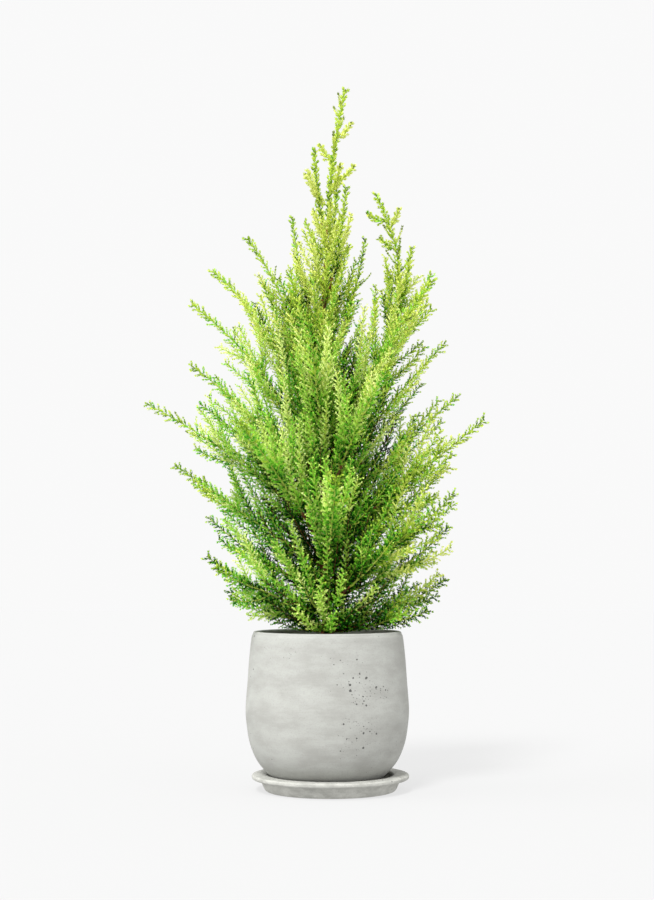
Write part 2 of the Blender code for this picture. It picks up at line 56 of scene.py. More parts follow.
# Pot, saucer and compost, as in the solids.
POT_X = -0.0038
POT_RIM_Z = 0.1925
POT_RIM_R = 0.0912
POT_BELLY_Z = 0.0985
POT_BELLY_R = 0.100
POT_FOOT_R = 0.050
POT_WALL = 0.0075
POT_FLOOR = 0.012
FLOOR_CORNER = 0.012
RIM_ROUND = 0.0025
RIM_LEAN = 0.0012  # how much thinner the wall is at the rim
SAUCER_FLOOR = 0.0085
POT_FOOT_Z = SAUCER_FLOOR + GAP
SAUCER_FOOT_R = 0.0796
SAUCER_WALL_R = 0.0864
SAUCER_HOLE_R = 0.0765
SAUCER_FLANGE_R = 0.0963
SAUCER_TOP_Z = 0.0197
SAUCER_CORNER = 0.004
FLANGE_THICK = 0.0058
EDGE_ROUND = 0.0015
SOIL_MOUND_Z = 0.182
SOIL_EDGE_Z = 0.178
SOIL_MOUND_R = 0.016
SOIL_SLOPE_R = 0.036

# The fine form of the turned pieces.
ROUND_SIDES = 256
INNER_STATIONS, RIM_STATIONS, OUTER_STATIONS = 60, 13, 130
RIM_FLATNESS = 0.8
CORNER_ROUNDS = 2
POT_WAVINESS, SAUCER_WAVINESS = 0.00016, 0.00030
WALL_WAVES, WALL_TURNS = 9, 7  # how many waves a wall has, and the bound of their turns round it
WAVE_SLANT = 40  # radians a metre of height, at most
WAVY_FROM = 0.5  # share of the widest radius from which a wall is wavy

# The fine form of the compost: rings of points with lumps, and loose crumbs on them.
SOIL_RINGS, SOIL_SIDES = 44, 160
SOIL_DEPTH = 0.012
SOIL_SINK = 0.0008
SOIL_GRAIN = (-0.0006, 0.0003)
LUMP_WAVES, LUMP_TURNS, LUMP_STRETCH, LUMP_HEIGHT = 26, 40, 9, 0.0012
CRUMB_COUNT = 1500
CRUMB_FREE = 0.012  # share of the surface, round the trunk, that has none
CRUMB_MARGIN = 0.003
CRUMB_SIZE, CRUMB_MORE = 0.0007, 0.0018  # the least, and how much more the largest has
CRUMB_SINK = 0.0006
CRUMB_STRETCH, CRUMB_STRAY = (0.6, 1.3), 0.15
CRUMB_SHAPE = np.array([1.2, 0.9, 0.7])

# Noises of the materials, as stretch along each axis, size, detail and roughness.
EVEN = (1, 1, 1)
STREAKS = ((16, 16, 90), 1.6, 4.0, 0.55)
BRUSH_MARKS = ((40, 40, 520), 1.3, 3.0, 0.6)
GRAIN = (EVEN, 620, 3.0, 0.6)
BARK_FIBRES = ((700, 700, 60), 1.0, 5.0, 0.65)
BARK_PATCHES = ((1, 1, 0.5), 90, 3.0, 0.55)
SOIL_CRUMBS = (EVEN, 260, 5.0, 0.7)
SOIL_PATCHES = (EVEN, 45, 3.0, 0.55)
CLOUD_STRETCH, CLOUD_DETAIL, CLOUD_ROUGH = (1, 1, 2.2), 6.0, 0.6
CLUSTER_DETAIL, CLUSTER_ROUGH = 2.0, 0.55

# Concrete. A range is what part of a noise runs from dark to light.
MOTTLE_RANGE, SPECK_RANGE, CLUSTER_RANGE = (0.34, 0.66), (0.48, 0.72), (0.48, 0.74)
BRUSH_SHARE = 0.5  # of the streaks' share
SPECK_SHARE = 0.40
SPECK_COLOUR = (140, 140, 136)
# Pinholes are darkened with painted shade, for the shade inside them.
HOLE_SHADE_COLOUR = (84, 84, 82)
CONCRETE_SHINE = (0.82, 0.25)  # roughness and specular level, as for every SHINE
LEAST_ROUGHNESS, MORE_ROUGHNESS = 0.68, 0.25
BRUSH_RELIEF, GRAIN_RELIEF, CONCRETE_RELIEF = 0.22, 0.30, 0.00035

# Pinholes: cells a metre, the share of cells with a hole in a cluster, the widest radius as a
# share of a cell, and clusters a metre.
WIDE_HOLES, FINE_HOLES = (260, 0.22, 0.34, 17), (560, 0.20, 0.34, 11)
FINE_HOLE_SHARE = 0.7
LONE_HOLES = 0.2  # of the share in a cluster
HOLE_EDGE = 0.04
SPOT_CORE = 0.4  # share of a spot's radius inside which its holes stand thickest

# Where the pot has clusters of pinholes: centre, radius and how thick they stand.
PINHOLE_SPOTS = [
    ((0.036, -0.092, 0.128), 0.032, 1.35),
    ((0.062, -0.076, 0.124), 0.020, 1.3),
    ((0.018, -0.094, 0.160), 0.045, 0.6),
    ((0.034, -0.086, 0.076), 0.046, 0.9),
]

# Light and dark colour, share of the streaks, clouds a metre and spots of pinholes.
POT_LOOK = ((165, 166, 161), (149, 149, 144), 0.17, 22, PINHOLE_SPOTS)
SAUCER_LOOK = ((179, 179, 173), (154, 154, 148), 0.12, 70, [])

# Bark and compost: dark and light colour, the range between them, and their relief.
BARK_COLOURS, FIBRE_RANGE, BARK_RELIEF = [(74, 40, 26), (150, 92, 58)], (0.35, 0.65), 0.0005
BARK_GREY, GREY_RANGE, GREY_SHARE = (126, 104, 84), (0.52, 0.72), 0.6
BARK_SHINE = (0.85, 0.2)
SOIL_COLOURS, SOIL_RANGE, SOIL_RELIEF = [(34, 24, 17), (92, 66, 46)], (0.38, 0.62), 0.0010
SOIL_CRUMB_SHARE = 0.6
SOIL_SHINE = (0.95, 0.15)

# Trunk and limbs, as in the solids.
TRUNK_FOOT_Z = SOIL_MOUND_Z + GAP
TRUNK_LINE = [
    (POT_X, 0.0, TRUNK_FOOT_Z),
    (-0.006, 0.002, 0.29),
    (-0.008, -0.002, 0.41),
    (-0.0104, 0.003, 0.55),
    (-0.0045, 0.0, 0.68),
    (0.002, 0.001, 0.77),
    (0.0184, 0.0, 0.868),
]
LINE_STATIONS = 241
TRUNK_TOP_Z = 0.70
TRUNK_R = 0.0062
TRUNK_TOP_R = 0.0014
TRUNK_TAPER = 0.85
FLARE_R = 0.0042
FLARE_HEIGHT = 0.010
LEFT_TIPS = [
    (0.123, 0.240), (0.143, 0.283), (0.146, 0.331), (0.197, 0.402), (0.154, 0.468),
    (0.228, 0.477), (0.161, 0.509), (0.167, 0.595), (0.146, 0.648), (0.097, 0.672),
]
RIGHT_TIPS = [
    (0.120, 0.218), (0.149, 0.256), (0.148, 0.320), (0.150, 0.358), (0.148, 0.399),
    (0.190, 0.449), (0.168, 0.491), (0.146, 0.549), (0.128, 0.618),
]
SECOND_LEADER_TIP = (0.062, 0.739)
SECOND_LEADER_ROOT_Z = 0.418
SECOND_LEADER_TURN = math.radians(11)
SECOND_LEADER_BOW = 2.3  # how far out it swings before it turns up, as a share of its reach
OUTLINE_SWING = math.radians(33)  # how far the outline's limbs fan out to front and back
DEEP_LIMBS = 14  # limbs that point to the front and back
DEEP_LOW_Z, DEEP_HIGH_Z = 0.250, 0.650
DEEP_SWING = math.radians(46)  # how far they fan out from straight front or back
FRONT_PHASE, BACK_PHASE = 0.3, 0.8  # where in the fan the first ones stand
CROWN_R, CROWN_R_Z, CROWN_TAPER, CROWN_CURVE = 0.190, 0.43, 1.02, 1.35
CREST_LIMBS = 5  # short ones close round the top of the trunk
CREST_ROOTS_Z = (0.51, 0.665)
CREST_TIPS_Z = (0.683, 0.788)
CREST_REACHES = (0.053, 0.030)
CREST_TURN = math.radians(25)
CREST_OUT, CREST_UP = 0.75, 0.45
ROOTS_Z, ROOT_SPACING = (0.1945, 0.43), 1.2
REACH_LOWERS = 0.35  # how much a limb's reach counts against its height in the roots' order
BENDS = [0.22, 0.34, 0.47, 0.70], [-0.5, -0.25, 0.25, 0.5]
RIGHT_BEND = -0.2
BEND_SHARE = 0.35
GOLDEN_ANGLE = math.radians(137.508)
GOLDEN_RATIO = 0.618034
LIMB_STATIONS = 65
LIMB_ROOT_R = 0.0021
LIMB_TIP_R = 0.0007
ROOT_TO_TRUNK = 0.66  # a limb's radius at its root is at most this share of the trunk's
TWIG_STEP = 0.0072
TWIG_FIRST, TWIG_LAST = 0.12, 0.93  # shares of a limb between which twigs stand
TWIG_ANGLE = math.radians(38)
TWIG_RISE = 0.18  # how much a twig's heading turns up
PLUME_HALF_WIDTH = 0.056
PLUME_ROOT, PLUME_SPREAD, PLUME_TAPER = 0.45, 2.5, 0.6
FULL_PLUME = 0.20  # limbs shorter than this have narrower plumes
TWIG_VARY = 0.15

# Seeds of the random draws.
SEED = 11
POT_SEED, SAUCER_SEED, LUMP_SEED, SOIL_SEED = 3, 5, 7, 501
WOOD_SEED, FOLIAGE_SEED, STRAY_SEED = 601, 701, 801

# The trunk and the boughs. A bark has its sides round, and the depth of its relief.
TRUNK_STATIONS, BOUGH_STATIONS = 260, 24
TRUNK_CROWDING = 1.15  # its stations stand closer together at its foot
TRUNK_BARK, BOUGH_BARK = (20, 0.16), (9, 0.14)
BOUGH_TAPER = 0.8
BOUGH_OVERLAP = 0.02  # share of a limb on which its bark runs on into the green stem
RIDGES, RIDGE_TURNS, RIDGE_TWIST, RIDGE_NOISE = 7, (2, 8), 60, 0.5

# Branchlets, which curve up from the limbs, the second leader and the leader.
BRANCHLET_CURVE = 0.42  # how far a branchlet sets out off its heading, to curve forward and up
BRANCHLET_LIFT, DEEP_LIFT = 0.70, 2.2  # of the direction that it curves to, how much is up
BRANCHLET_STRAY = 0.22  # and how much is left to chance
INNER_FIRST = 0.06  # share of a bough at which thin inner branchlets start
SLIMMING = [0.0, 0.45, 0.75, 1.0], [1.25, 1.12, 0.50, 0.3]
SPARSE_FROM = 0.45  # beyond this share of a limb its branchlets stand further apart
DENSE_EVERY, SPARSE_EVERY, CREST_EVERY, LEADER_EVERY = 3, 4, 7, 2  # twig stations between two
BRANCHLET_LAST = 0.82  # beyond this share a limb is a single garland
DEEP_TWIG_RISE = 0.8
LEADER_REACHES = [0.70, 0.74, 0.78, 0.83, 0.868], [0.046, 0.040, 0.030, 0.018, 0.010]
LEADER_SHOOT_REACH = 0.024
LEADER_ANGLE = math.radians(50)

# Wands: long upright shoots between the branchlets, and others on the trunk itself, which
# stand closest together at its foot.
WAND_STEPS = [0.28, 0.45], [0.0105, 0.0125]
WAND_FIRST, WAND_LAST = 0.05, 0.62
WAND_ANGLE = math.radians(30)
WAND_RISE, DEEP_RISE = 0.50, 1.1
WAND_REACHES = [0.0, 0.35, 0.62], [0.120, 0.110, 0.070]
WAND_NUMBERS = 500  # their random draws are numbered from here
TRUNK_SHOOTS = 168
TRUNK_SHOOTS_Z, TRUNK_SHOOT_SPACING = (0.192, 0.69), 1.55
TRUNK_SHOOT_HEIGHTS = [0.19, 0.23, 0.30, 0.58, 0.70]
TRUNK_SHOOT_REACHES = [0.080, 0.110, 0.120, 0.080, 0.034]
TRUNK_SHOOT_ANGLES = np.radians([76, 50, 36, 32, 30])

# Twiglets: short shoots all round the branchlets, wands and green stems, which are their
# garlands. Shoots have the garland's share at which they start, their step, and their reach at
# its root and tip.
PLAIN_LENGTH = 0.026  # shorter garlands are clad in needles and have no shoots
GREEN_FROM = 0.30  # share of a limb from which its stem is green and has shoots
SIDE_SHOOTS, STEM_SHOOTS = (0.10, 0.0018, 0.0110, 0.0064), (0.02, 0.0022, 0.0105, 0.0074)
SHOOT_ANGLES = [0.25, 0.60], np.radians([50, 38])
SHOOT_ANGLE_VARY, SHOOT_REACH_VARY = (0.8, 1.2), (0.65, 1.2)
SHOOT_ROLL = 2.4  # radians from one garland's first shoot to the next one's
SHOOT_TAPER = 0.8
SHOOT_CURVE, SHOOT_LIFT = 0.12, 0.6
SHORT_SHARE, SHORT_GARLAND = 0.5, 0.05  # short garlands have shorter shoots
THINNING = [0.62, 0.72], [1.0, 0.55]  # the ropes of the top are thin
TWIGLET_R = 0.0010
TWIGLET_WAIST = 0.45  # the share of a twiglet's length at which it is thickest
BOLD_HEIGHTS, TOP_BOLDNESS = [0.50, 0.75], [1.0, 1.35]  # twiglets are thicker near the top
OUTER_BOLDNESS = [0.6, 1.0], [0.95, 1.25]  # and at the crown's outside
RIM_CLEAR = 0.004
RIM_MARGIN = 0.001

# Needles in whorls on every green strand.
NEEDLES_ROUND = 3
NEEDLE_STEP = 0.0027
LEAST_WHORLS = 2
NEEDLE_LENGTH, NEEDLE_WIDTH = 0.0032, 0.0012
NEEDLE_FOLD, NEEDLE_WAIST = 0.25, 0.38
NEEDLE_ANGLES = [0.25, 0.75], np.radians([33, 21])
NEEDLE_ANGLE_VARY, NEEDLE_LENGTH_VARY, NEEDLE_WIDTH_VARY = (0.8, 1.25), (0.75, 1.15), (0.85, 1.15)
NEEDLE_JITTER = 0.3  # of the step from whorl to whorl
NEEDLE_ROLL, ROLL_NOISE = 1.7, 0.25
STEM_NEEDLES_FROM = 0.40  # share of a garland from which its stem has needles
TWIGLET_NEEDLES_FROM = 0.12
BUD_FROM, BUD_LENGTH, BUD_BREADTH, BUD_NEEDLES = 0.80, 0.0045, 1.6, 0.5
BUD_ANGLE = math.radians(14)
STRAND_R = 0.00035
PIECE_TRIANGLES = 190_000

# Wood of the green strands: radius at root and tip, rings and sides.
STEM_WOOD = (0.0015, 0.0004, 14, 5)
GREEN_WOOD = (0.0008, 0.0004, 6, 4)
BROWN_WOOD = (0.0007, 0.0003, 6, 4)
GREEN_WOOD_FROM = 0.12  # the exposure from which a branchlet's wood is green

# The crown's radius by height, seen from the front, to tell inner sprays from outer ones.
CROWN_HEIGHTS = [0.19, 0.25, 0.30, 0.40, 0.45, 0.52, 0.60, 0.66, 0.70, 0.75, 0.80, 0.87]
CROWN_RADII = [0.10, 0.135, 0.145, 0.165, 0.18, 0.16, 0.14, 0.12, 0.07, 0.05, 0.03, 0.012]
TOP_FROM_Z, TOP_SPAN = 0.56, 0.18  # from here up every spray counts as an outer one
MOST_LIT = 1.15

# Exposure: how light a spray is. It grows outward, upward, and to the left and the front; the
# lightening to the left and the front is painted light from the key's side.
# The lit term darkens the crown's inside: partly the deeper green of inner growth, partly painted
# shade.
TONE_FROM, LIT_TONE = 0.20, 0.39
HEIGHT_TONES = [0.20, 0.33, 0.50, 0.65, 0.87], [-0.24, -0.10, 0.15, 0.28, 0.28]
# Painted light: sprays to the left and the front, the key light's side, are lighter.
PAINTED_LEFT_LIGHT, PAINTED_FRONT_LIGHT, TONE_SPAN = 0.13, 0.19, 0.15
LIMB_TONES = [0.0, 0.5, 0.9], [0.0, 0.06, -0.16]
TONE_AT = 0.7  # the share of a branchlet at which its exposure is taken
PLUME_NOISE, BRANCHLET_NOISE, SHOOT_NOISE = 0.03, 0.26, 0.13
BRANCHLET_CALM, SHOOT_CALM = [1.0, 0.4], [1.0, 0.3]  # less of it near the top
OUTER_LIT, OUTER_LEAST = [0.28, 0.55, 0.95], [-0.6, 0.30, 0.40]  # no shade at the crown's outside
OUTER_CALM = [1.0, 0.8, 0.55]  # and less left to chance there
LOW_SHADE = [0.22, 0.36], [-0.20, 0.0]  # but the crown's foot may be darker
SHARE_TONES = [0.0, 0.65, 1.0], [-0.30, 0.22, 0.06]  # lightest short of a garland's tip
STEM_FROM, STEM_LIT_TONE, STEM_HEIGHT_TONE, LEADER_TONE = 0.06, 0.20, 0.7, 0.06
# Needles on a garland's own stem are darker: painted shade in the garland's core.
STEM_CORE_SHADE = -0.12
NEEDLE_TONE = 0.46  # how much lighter the needles are at a strand's tip than at its root: partly the young tips' own lighter colour, partly painted shade at the root

# Colours of the sprays from the darkest inner ones to the tips, as sRGB: first the cool greens
# of the middle and the left, then the olive greens of the right, the top and the outside.
GREENS = [
    ("shade", (8, 46, 3), (16, 42, 3)),
    ("deep", (28, 96, 9), (42, 92, 8)),
    ("green", (76, 158, 24), (114, 153, 27)),
    ("mid", (134, 202, 52), (168, 198, 54)),
    ("lime", (176, 218, 86), (194, 214, 84)),
    ("gold", (206, 228, 118), (212, 222, 108)),
    ("tips", (224, 238, 150), (226, 234, 144)),
]
GREEN_EDGES = [0.20, 0.34, 0.48, 0.64, 0.84, 1.04]
OLIVE_LIT, OLIVE_X, OLIVE_HEIGHTS, OLIVE_SPREAD = [0.80, 1.1], 0.15, [0.44, 0.68], 0.24
OLIVE_FROM = 0.5
GREEN_ROUGHNESS, SHADE_SPECULAR, GREEN_SPECULAR = 0.5, 0.08, 0.22
SHADE_LEVELS = 2
PLAIN_SPECULAR = 0.15
BUD_LOOK = ((122, 138, 56), 0.6)
GREEN_WOOD_LOOK = ((178, 196, 84), 0.6)
BROWN_WOOD_LOOK = ((120, 74, 44), 0.8)

# Studio. A sun has its strength, the width of its disc, its elevation and its azimuth in
# degrees. Azimuth 0 comes from the front and 90 from the left.
SUNS = {"key": (3.35, 14, 50, 22), "side": (1.55, 55, 16, 82), "fill": (0.80, 60, 2, -44)}
WORLD_LIGHT, WORLD_SEEN = 1.02, 0.95
FLOOR_REACH, FLOOR_DROP = 8.0, 0.0002
FLOOR_LOOK, FLOOR_GLOW = ((100, 100, 100), 0.9, 0.0), 0.69
CAMERA_AT = (-0.0042, -2.0, 0.2722)
CAMERA_TILT = math.radians(94.096)
CAMERA_LENS, CAMERA_END = 64.8, 50


def srgb(colour):
    """A colour in steps of 255 as the linear RGBA of a shader socket."""
    shares = np.asarray(colour) / 255
    linear = np.where(shares <= 0.04045, shares / 12.92, ((shares + 0.055) / 1.055) ** 2.4)
    return (*linear, 1.0)


def unit(vectors):
    return vectors / (np.linalg.norm(vectors, axis=-1, keepdims=True) + TINY)


def between(ends, share):
    """The value at a share of the way from one end to the other."""
    return ends[0] + (ends[1] - ends[0]) * share


def dice(*seeds):
    return np.random.default_rng([SEED, *seeds])


def add_object(name, data):
    made = bpy.data.objects.new(name, data)
    bpy.context.scene.collection.objects.link(made)
    return made


# Shader nodes


def new_material(name, roughness, specular):
    made = bpy.data.materials.new(name)
    made.use_nodes = True
    shader = made.node_tree.nodes["Principled BSDF"]
    shader.inputs["Roughness"].default_value = roughness
    shader.inputs["Specular IOR Level"].default_value = specular
    return made, shader


def add_node(tree, kind, links=(), **settings):
    """A node with its settings, and its inputs linked to sockets or set to values."""
    node = tree.nodes.new(kind)
    for key, value in settings.items():
        setattr(node, key, value)
    for key, value in links:
        if isinstance(value, bpy.types.NodeSocket):
            tree.links.new(value, node.inputs[key])
        else:
            node.inputs[key].default_value = value
    return node


def plain_material(name, colour, roughness, specular=PLAIN_SPECULAR):
    made, shader = new_material(name, roughness, specular)
    shader.inputs["Base Color"].default_value = srgb(colour)
    return made


def stretched_place(tree, stretch):
    where = add_node(tree, "ShaderNodeTexCoord").outputs["Object"]
    links = [("Vector", where), ("Scale", stretch)]
    return add_node(tree, "ShaderNodeMapping", links).outputs[0]


def noise(tree, stretch, size, detail, rough):
    where = stretched_place(tree, stretch)
    links = [("Vector", where), ("Scale", size), ("Detail", detail), ("Roughness", rough)]
    return add_node(tree, "ShaderNodeTexNoise", links).outputs["Fac"]


def reckon(tree, operation, *values):
    """What a math node makes of its values, which are sockets or numbers."""
    return add_node(tree, "ShaderNodeMath", enumerate(values), operation=operation).outputs[0]


def spread_out(tree, value, low, high):
    """The value with low brought to 0 and high to 1, in a soft step."""
    links = [("Value", value), ("From Min", low), ("From Max", high)]
    return add_node(tree, "ShaderNodeMapRange", links, interpolation_type="SMOOTHSTEP").outputs[0]


def blended(tree, factor, first, second):
    """The first colour where the factor is 0, and the second where it is 1."""
    node = add_node(tree, "ShaderNodeMix", data_type="RGBA")
    for key, value in (("Factor", factor), ("A", first), ("B", second)):
        socket = [s for s in node.inputs if s.name == key and s.enabled][0]
        if isinstance(value, bpy.types.NodeSocket):
            tree.links.new(value, socket)
        else:
            socket.default_value = srgb(value) if key in ("A", "B") else value
    return [s for s in node.outputs if s.enabled][0]


def bump(tree, shader, height, distance):
    links = [("Height", height), ("Distance", distance), ("Strength", 1.0)]
    node = add_node(tree, "ShaderNodeBump", links)
    tree.links.new(node.outputs[0], shader.inputs["Normal"])


def nearness(tree, spots):
    """As much as a round spot's strength in its middle, and 0 from its radius on."""
    where = stretched_place(tree, EVEN)
    nearest = 0.0
    for centre, radius, strength in spots:
        away = add_node(tree, "ShaderNodeVectorMath", [(0, where), (1, centre)], operation="DISTANCE")
        share = spread_out(tree, away.outputs["Value"], radius, SPOT_CORE * radius)
        nearest = reckon(tree, "MAXIMUM", reckon(tree, "MULTIPLY", share, strength), nearest)
    return nearest


def pinholes(tree, cells_a_metre, share, widest, clusters_a_metre, spots):
    """1 inside small round holes of different sizes, most of them in clusters."""
    where = stretched_place(tree, EVEN)
    cells = add_node(tree, "ShaderNodeTexVoronoi", [("Vector", where), ("Scale", cells_a_metre)])
    picked = add_node(tree, "ShaderNodeSeparateColor", [(0, cells.outputs["Color"])]).outputs[0]
    clouds = noise(tree, EVEN, clusters_a_metre, CLUSTER_DETAIL, CLUSTER_ROUGH)
    clusters = spread_out(tree, clouds, *CLUSTER_RANGE)
    clusters = reckon(tree, "MAXIMUM", clusters, nearness(tree, spots))
    chance = reckon(tree, "MULTIPLY_ADD", clusters, share, LONE_HOLES * share)
    reach = reckon(tree, "SUBTRACT", picked, reckon(tree, "SUBTRACT", 1.0, chance))
    radius = reckon(tree, "MULTIPLY", reach, widest / share)
    inside = reckon(tree, "SUBTRACT", radius, cells.outputs["Distance"])
    return spread_out(tree, inside, 0.0, HOLE_EDGE)


def concrete_material(name, light, dark, streak_share, clouds_a_metre, spots):
    """Mottled concrete with drawn streaks, brush marks, light specks and pinholes darkened with
    painted shade.
    """
    made, shader = new_material(name, *CONCRETE_SHINE)
    tree = made.node_tree
    cloud = noise(tree, CLOUD_STRETCH, clouds_a_metre, CLOUD_DETAIL, CLOUD_ROUGH)
    streaks = noise(tree, *STREAKS)
    brush = noise(tree, *BRUSH_MARKS)
    grain = noise(tree, *GRAIN)
    marks = reckon(tree, "MULTIPLY", streaks, streak_share)
    fine_marks = reckon(tree, "MULTIPLY", brush, BRUSH_SHARE * streak_share)
    clouds = reckon(tree, "MULTIPLY", cloud, 1 - (1 + BRUSH_SHARE) * streak_share)
    both = reckon(tree, "ADD", reckon(tree, "ADD", marks, fine_marks), clouds)
    tone = blended(tree, spread_out(tree, both, *MOTTLE_RANGE), dark, light)
    specks = reckon(tree, "MULTIPLY", spread_out(tree, grain, *SPECK_RANGE), SPECK_SHARE)
    speckled = blended(tree, specks, tone, SPECK_COLOUR)
    wide_holes = pinholes(tree, *WIDE_HOLES, spots)
    fine_holes = reckon(tree, "MULTIPLY", pinholes(tree, *FINE_HOLES, spots), FINE_HOLE_SHARE)
    holes = reckon(tree, "MAXIMUM", wide_holes, fine_holes)
    # painted shade: the pinholes are darkened
    colour = blended(tree, holes, speckled, HOLE_SHADE_COLOUR)
    tree.links.new(colour, shader.inputs["Base Color"])
    roughness = reckon(tree, "MULTIPLY_ADD", cloud, MORE_ROUGHNESS, LEAST_ROUGHNESS)
    tree.links.new(roughness, shader.inputs["Roughness"])
    ridges = reckon(tree, "MULTIPLY", brush, BRUSH_RELIEF)
    relief = reckon(tree, "ADD", ridges, reckon(tree, "MULTIPLY", grain, GRAIN_RELIEF))
    bump(tree, shader, reckon(tree, "SUBTRACT", relief, holes), CONCRETE_RELIEF)
    return made


def bark_material():
    """Reddish brown bark with fibres along it and grey patches."""
    made, shader = new_material("bark", *BARK_SHINE)
    tree = made.node_tree
    fibres = noise(tree, *BARK_FIBRES)
    patches = noise(tree, *BARK_PATCHES)
    wood = blended(tree, spread_out(tree, fibres, *FIBRE_RANGE), *BARK_COLOURS)
    grey = reckon(tree, "MULTIPLY", spread_out(tree, patches, *GREY_RANGE), GREY_SHARE)
    tree.links.new(blended(tree, grey, wood, BARK_GREY), shader.inputs["Base Color"])
    bump(tree, shader, fibres, BARK_RELIEF)
    return made


def compost_material():
    made, shader = new_material("compost", *SOIL_SHINE)
    tree = made.node_tree
    fine = noise(tree, *SOIL_CRUMBS)
    fine_part = reckon(tree, "MULTIPLY", fine, SOIL_CRUMB_SHARE)
    coarse_part = reckon(tree, "MULTIPLY", noise(tree, *SOIL_PATCHES), 1 - SOIL_CRUMB_SHARE)
    shade = spread_out(tree, reckon(tree, "ADD", fine_part, coarse_part), *SOIL_RANGE)
    tree.links.new(blended(tree, shade, *SOIL_COLOURS), shader.inputs["Base Color"])
    bump(tree, shader, fine, SOIL_RELIEF)
    return made


# Meshes


def add_piece(name, points, faces, finish, slot, nodes, smooth=False):
    """A piece from arrays, which stands for the nodes."""
    mesh = bpy.data.meshes.new(name)
    mesh.vertices.add(len(points))
    mesh.vertices.foreach_set("co", np.ascontiguousarray(points, np.float32).ravel())
    mesh.loops.add(faces.size)
    mesh.loops.foreach_set("vertex_index", np.ascontiguousarray(faces, np.int32).ravel())
    mesh.polygons.add(len(faces))
    starts = np.arange(0, faces.size, faces.shape[1], dtype=np.int32)
    mesh.polygons.foreach_set("loop_start", starts)
    mesh.update(calc_edges=True)
    if smooth:
        mesh.shade_smooth()
    else:
        mesh.shade_flat()
    mesh.materials.append(finish)
    obj = add_object(name, mesh)
    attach(obj, "root")
    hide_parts(*nodes)


def split(quads):
    """Each quad as two triangles."""
    return np.concatenate([quads[:, [0, 1, 2]], quads[:, [0, 2, 3]]])


def ring_quads(rings, sides):
    """The quads between rings of points that follow each other."""
    here = np.arange(sides)
    after = np.roll(here, -1)
    low = np.arange(rings - 1)[:, None] * sides
    high = low + sides
    return np.stack([low + here, low + after, high + after, high + here], axis=2).reshape(-1, 4)


def ring_faces(rings, sides):
    """Triangles between rings, and from either end to a point. The two points come last."""
    here = np.arange(sides)
    after = np.roll(here, -1)
    first, last = rings * sides, rings * sides + 1
    end = (rings - 1) * sides
    start_cap = np.stack([np.full(sides, first), after, here], axis=1)
    end_cap = np.stack([np.full(sides, last), end + here, end + after], axis=1)
    return np.vstack([split(ring_quads(rings, sides)), start_cap, end_cap])


def angles_round(sides):
    return np.arange(sides) * (2 * math.pi / sides)


def turned(centre_x, radius, angle, z):
    """Rings of points round an upright axis."""
    return np.stack([centre_x + radius * np.cos(angle), radius * np.sin(angle), z], axis=2)


def merged(parts):
    """Points and faces of several parts as one."""
    points, faces, start = [], [], 0
    for some, corners in parts:
        points.append(some)
        faces.append(corners + start)
        start += len(some)
    return np.vstack(points), np.vstack(faces)


def rolling(seed, waves, most_turns):
    """Random smooth waves round a turned piece: a function of the angle and the height."""
    rng = dice(seed)
    around = rng.integers(0, most_turns, waves)
    upward = rng.uniform(-WAVE_SLANT, WAVE_SLANT, waves)
    start = rng.uniform(0, 2 * math.pi, waves)

    def height(angle, z):
        return sum(np.sin(n * angle + u * z + s) for n, u, s in zip(around, upward, start)) / waves

    return height


def lathe(name, profile, centre_x, finish, slot, nodes, waviness, seed):
    """A solid of revolution. The profile runs from axis to axis. Its walls are a little wavy."""
    profile = np.asarray(profile)
    angle = angles_round(ROUND_SIDES)
    radius = np.repeat(profile[1:-1, :1], ROUND_SIDES, axis=1)
    z = np.repeat(profile[1:-1, 1:], ROUND_SIDES, axis=1)
    inward = rolling(seed, WALL_WAVES, WALL_TURNS)(angle, z) - 1
    radius = radius + waviness * inward * (radius > WAVY_FROM * radius.max())
    rings = turned(centre_x, radius, angle, z)
    ends = [(centre_x, 0, profile[0, 1]), (centre_x, 0, profile[-1, 1])]
    points = np.vstack([rings.reshape(-1, 3), *ends])
    faces = ring_faces(len(rings), ROUND_SIDES)
    add_piece(name, points, faces, finish, slot, nodes, smooth=True)


def smooth_line(knots, count):
    """A Catmull-Rom line through the knots, as count points."""
    knots = np.asarray(knots, float)
    padded = np.vstack([2 * knots[0] - knots[1], knots, 2 * knots[-1] - knots[-2]])
    points = []
    for u in np.linspace(0, len(knots) - 1, count):
        i = min(int(u), len(knots) - 2)
        t = u - i
        a, b, c, d = padded[i : i + 4]
        cubic = (3 * b - a - 3 * c + d) * t**3 + (2 * a - 5 * b + 4 * c - d) * t**2
        points.append(0.5 * (2 * b + (c - a) * t + cubic))
    return np.array(points)


def cut_corners(profile, rounds):
    """Chaikin's rule: each round replaces a corner by two points on its sides."""
    points = np.asarray(profile, float)
    for _ in range(rounds):
        near = 0.75 * points[:-1] + 0.25 * points[1:]
        far = 0.25 * points[:-1] + 0.75 * points[1:]
        pairs = np.stack([near, far], axis=1).reshape(-1, 2)
        points = np.vstack([points[:1], pairs[1:-1], points[-1:]])
    return points


# Pot, saucer and compost


def pot_outer():
    """The pot's outer side from below the rim's rounding to the foot, as (radius, height)."""
    rim_to_belly = [(0.0932, 0.184), (0.0958, 0.160), (0.0978, 0.131), (POT_BELLY_R, POT_BELLY_Z)]
    below_belly = [(0.0985, 0.078), (0.0950, 0.058), (0.0875, 0.039), (0.0775, 0.0255)]
    return rim_to_belly + below_belly + [(0.0665, 0.0155), (POT_FOOT_R, POT_FOOT_Z)]


def pot_inner():
    """The pot's inner side from its floor up: the wall inside every other outer point."""
    side = [(r - POT_WALL, z) for r, z in reversed(pot_outer()[0:8:2])]
    return [(side[0][0] - FLOOR_CORNER, POT_FOOT_Z + POT_FLOOR)] + side


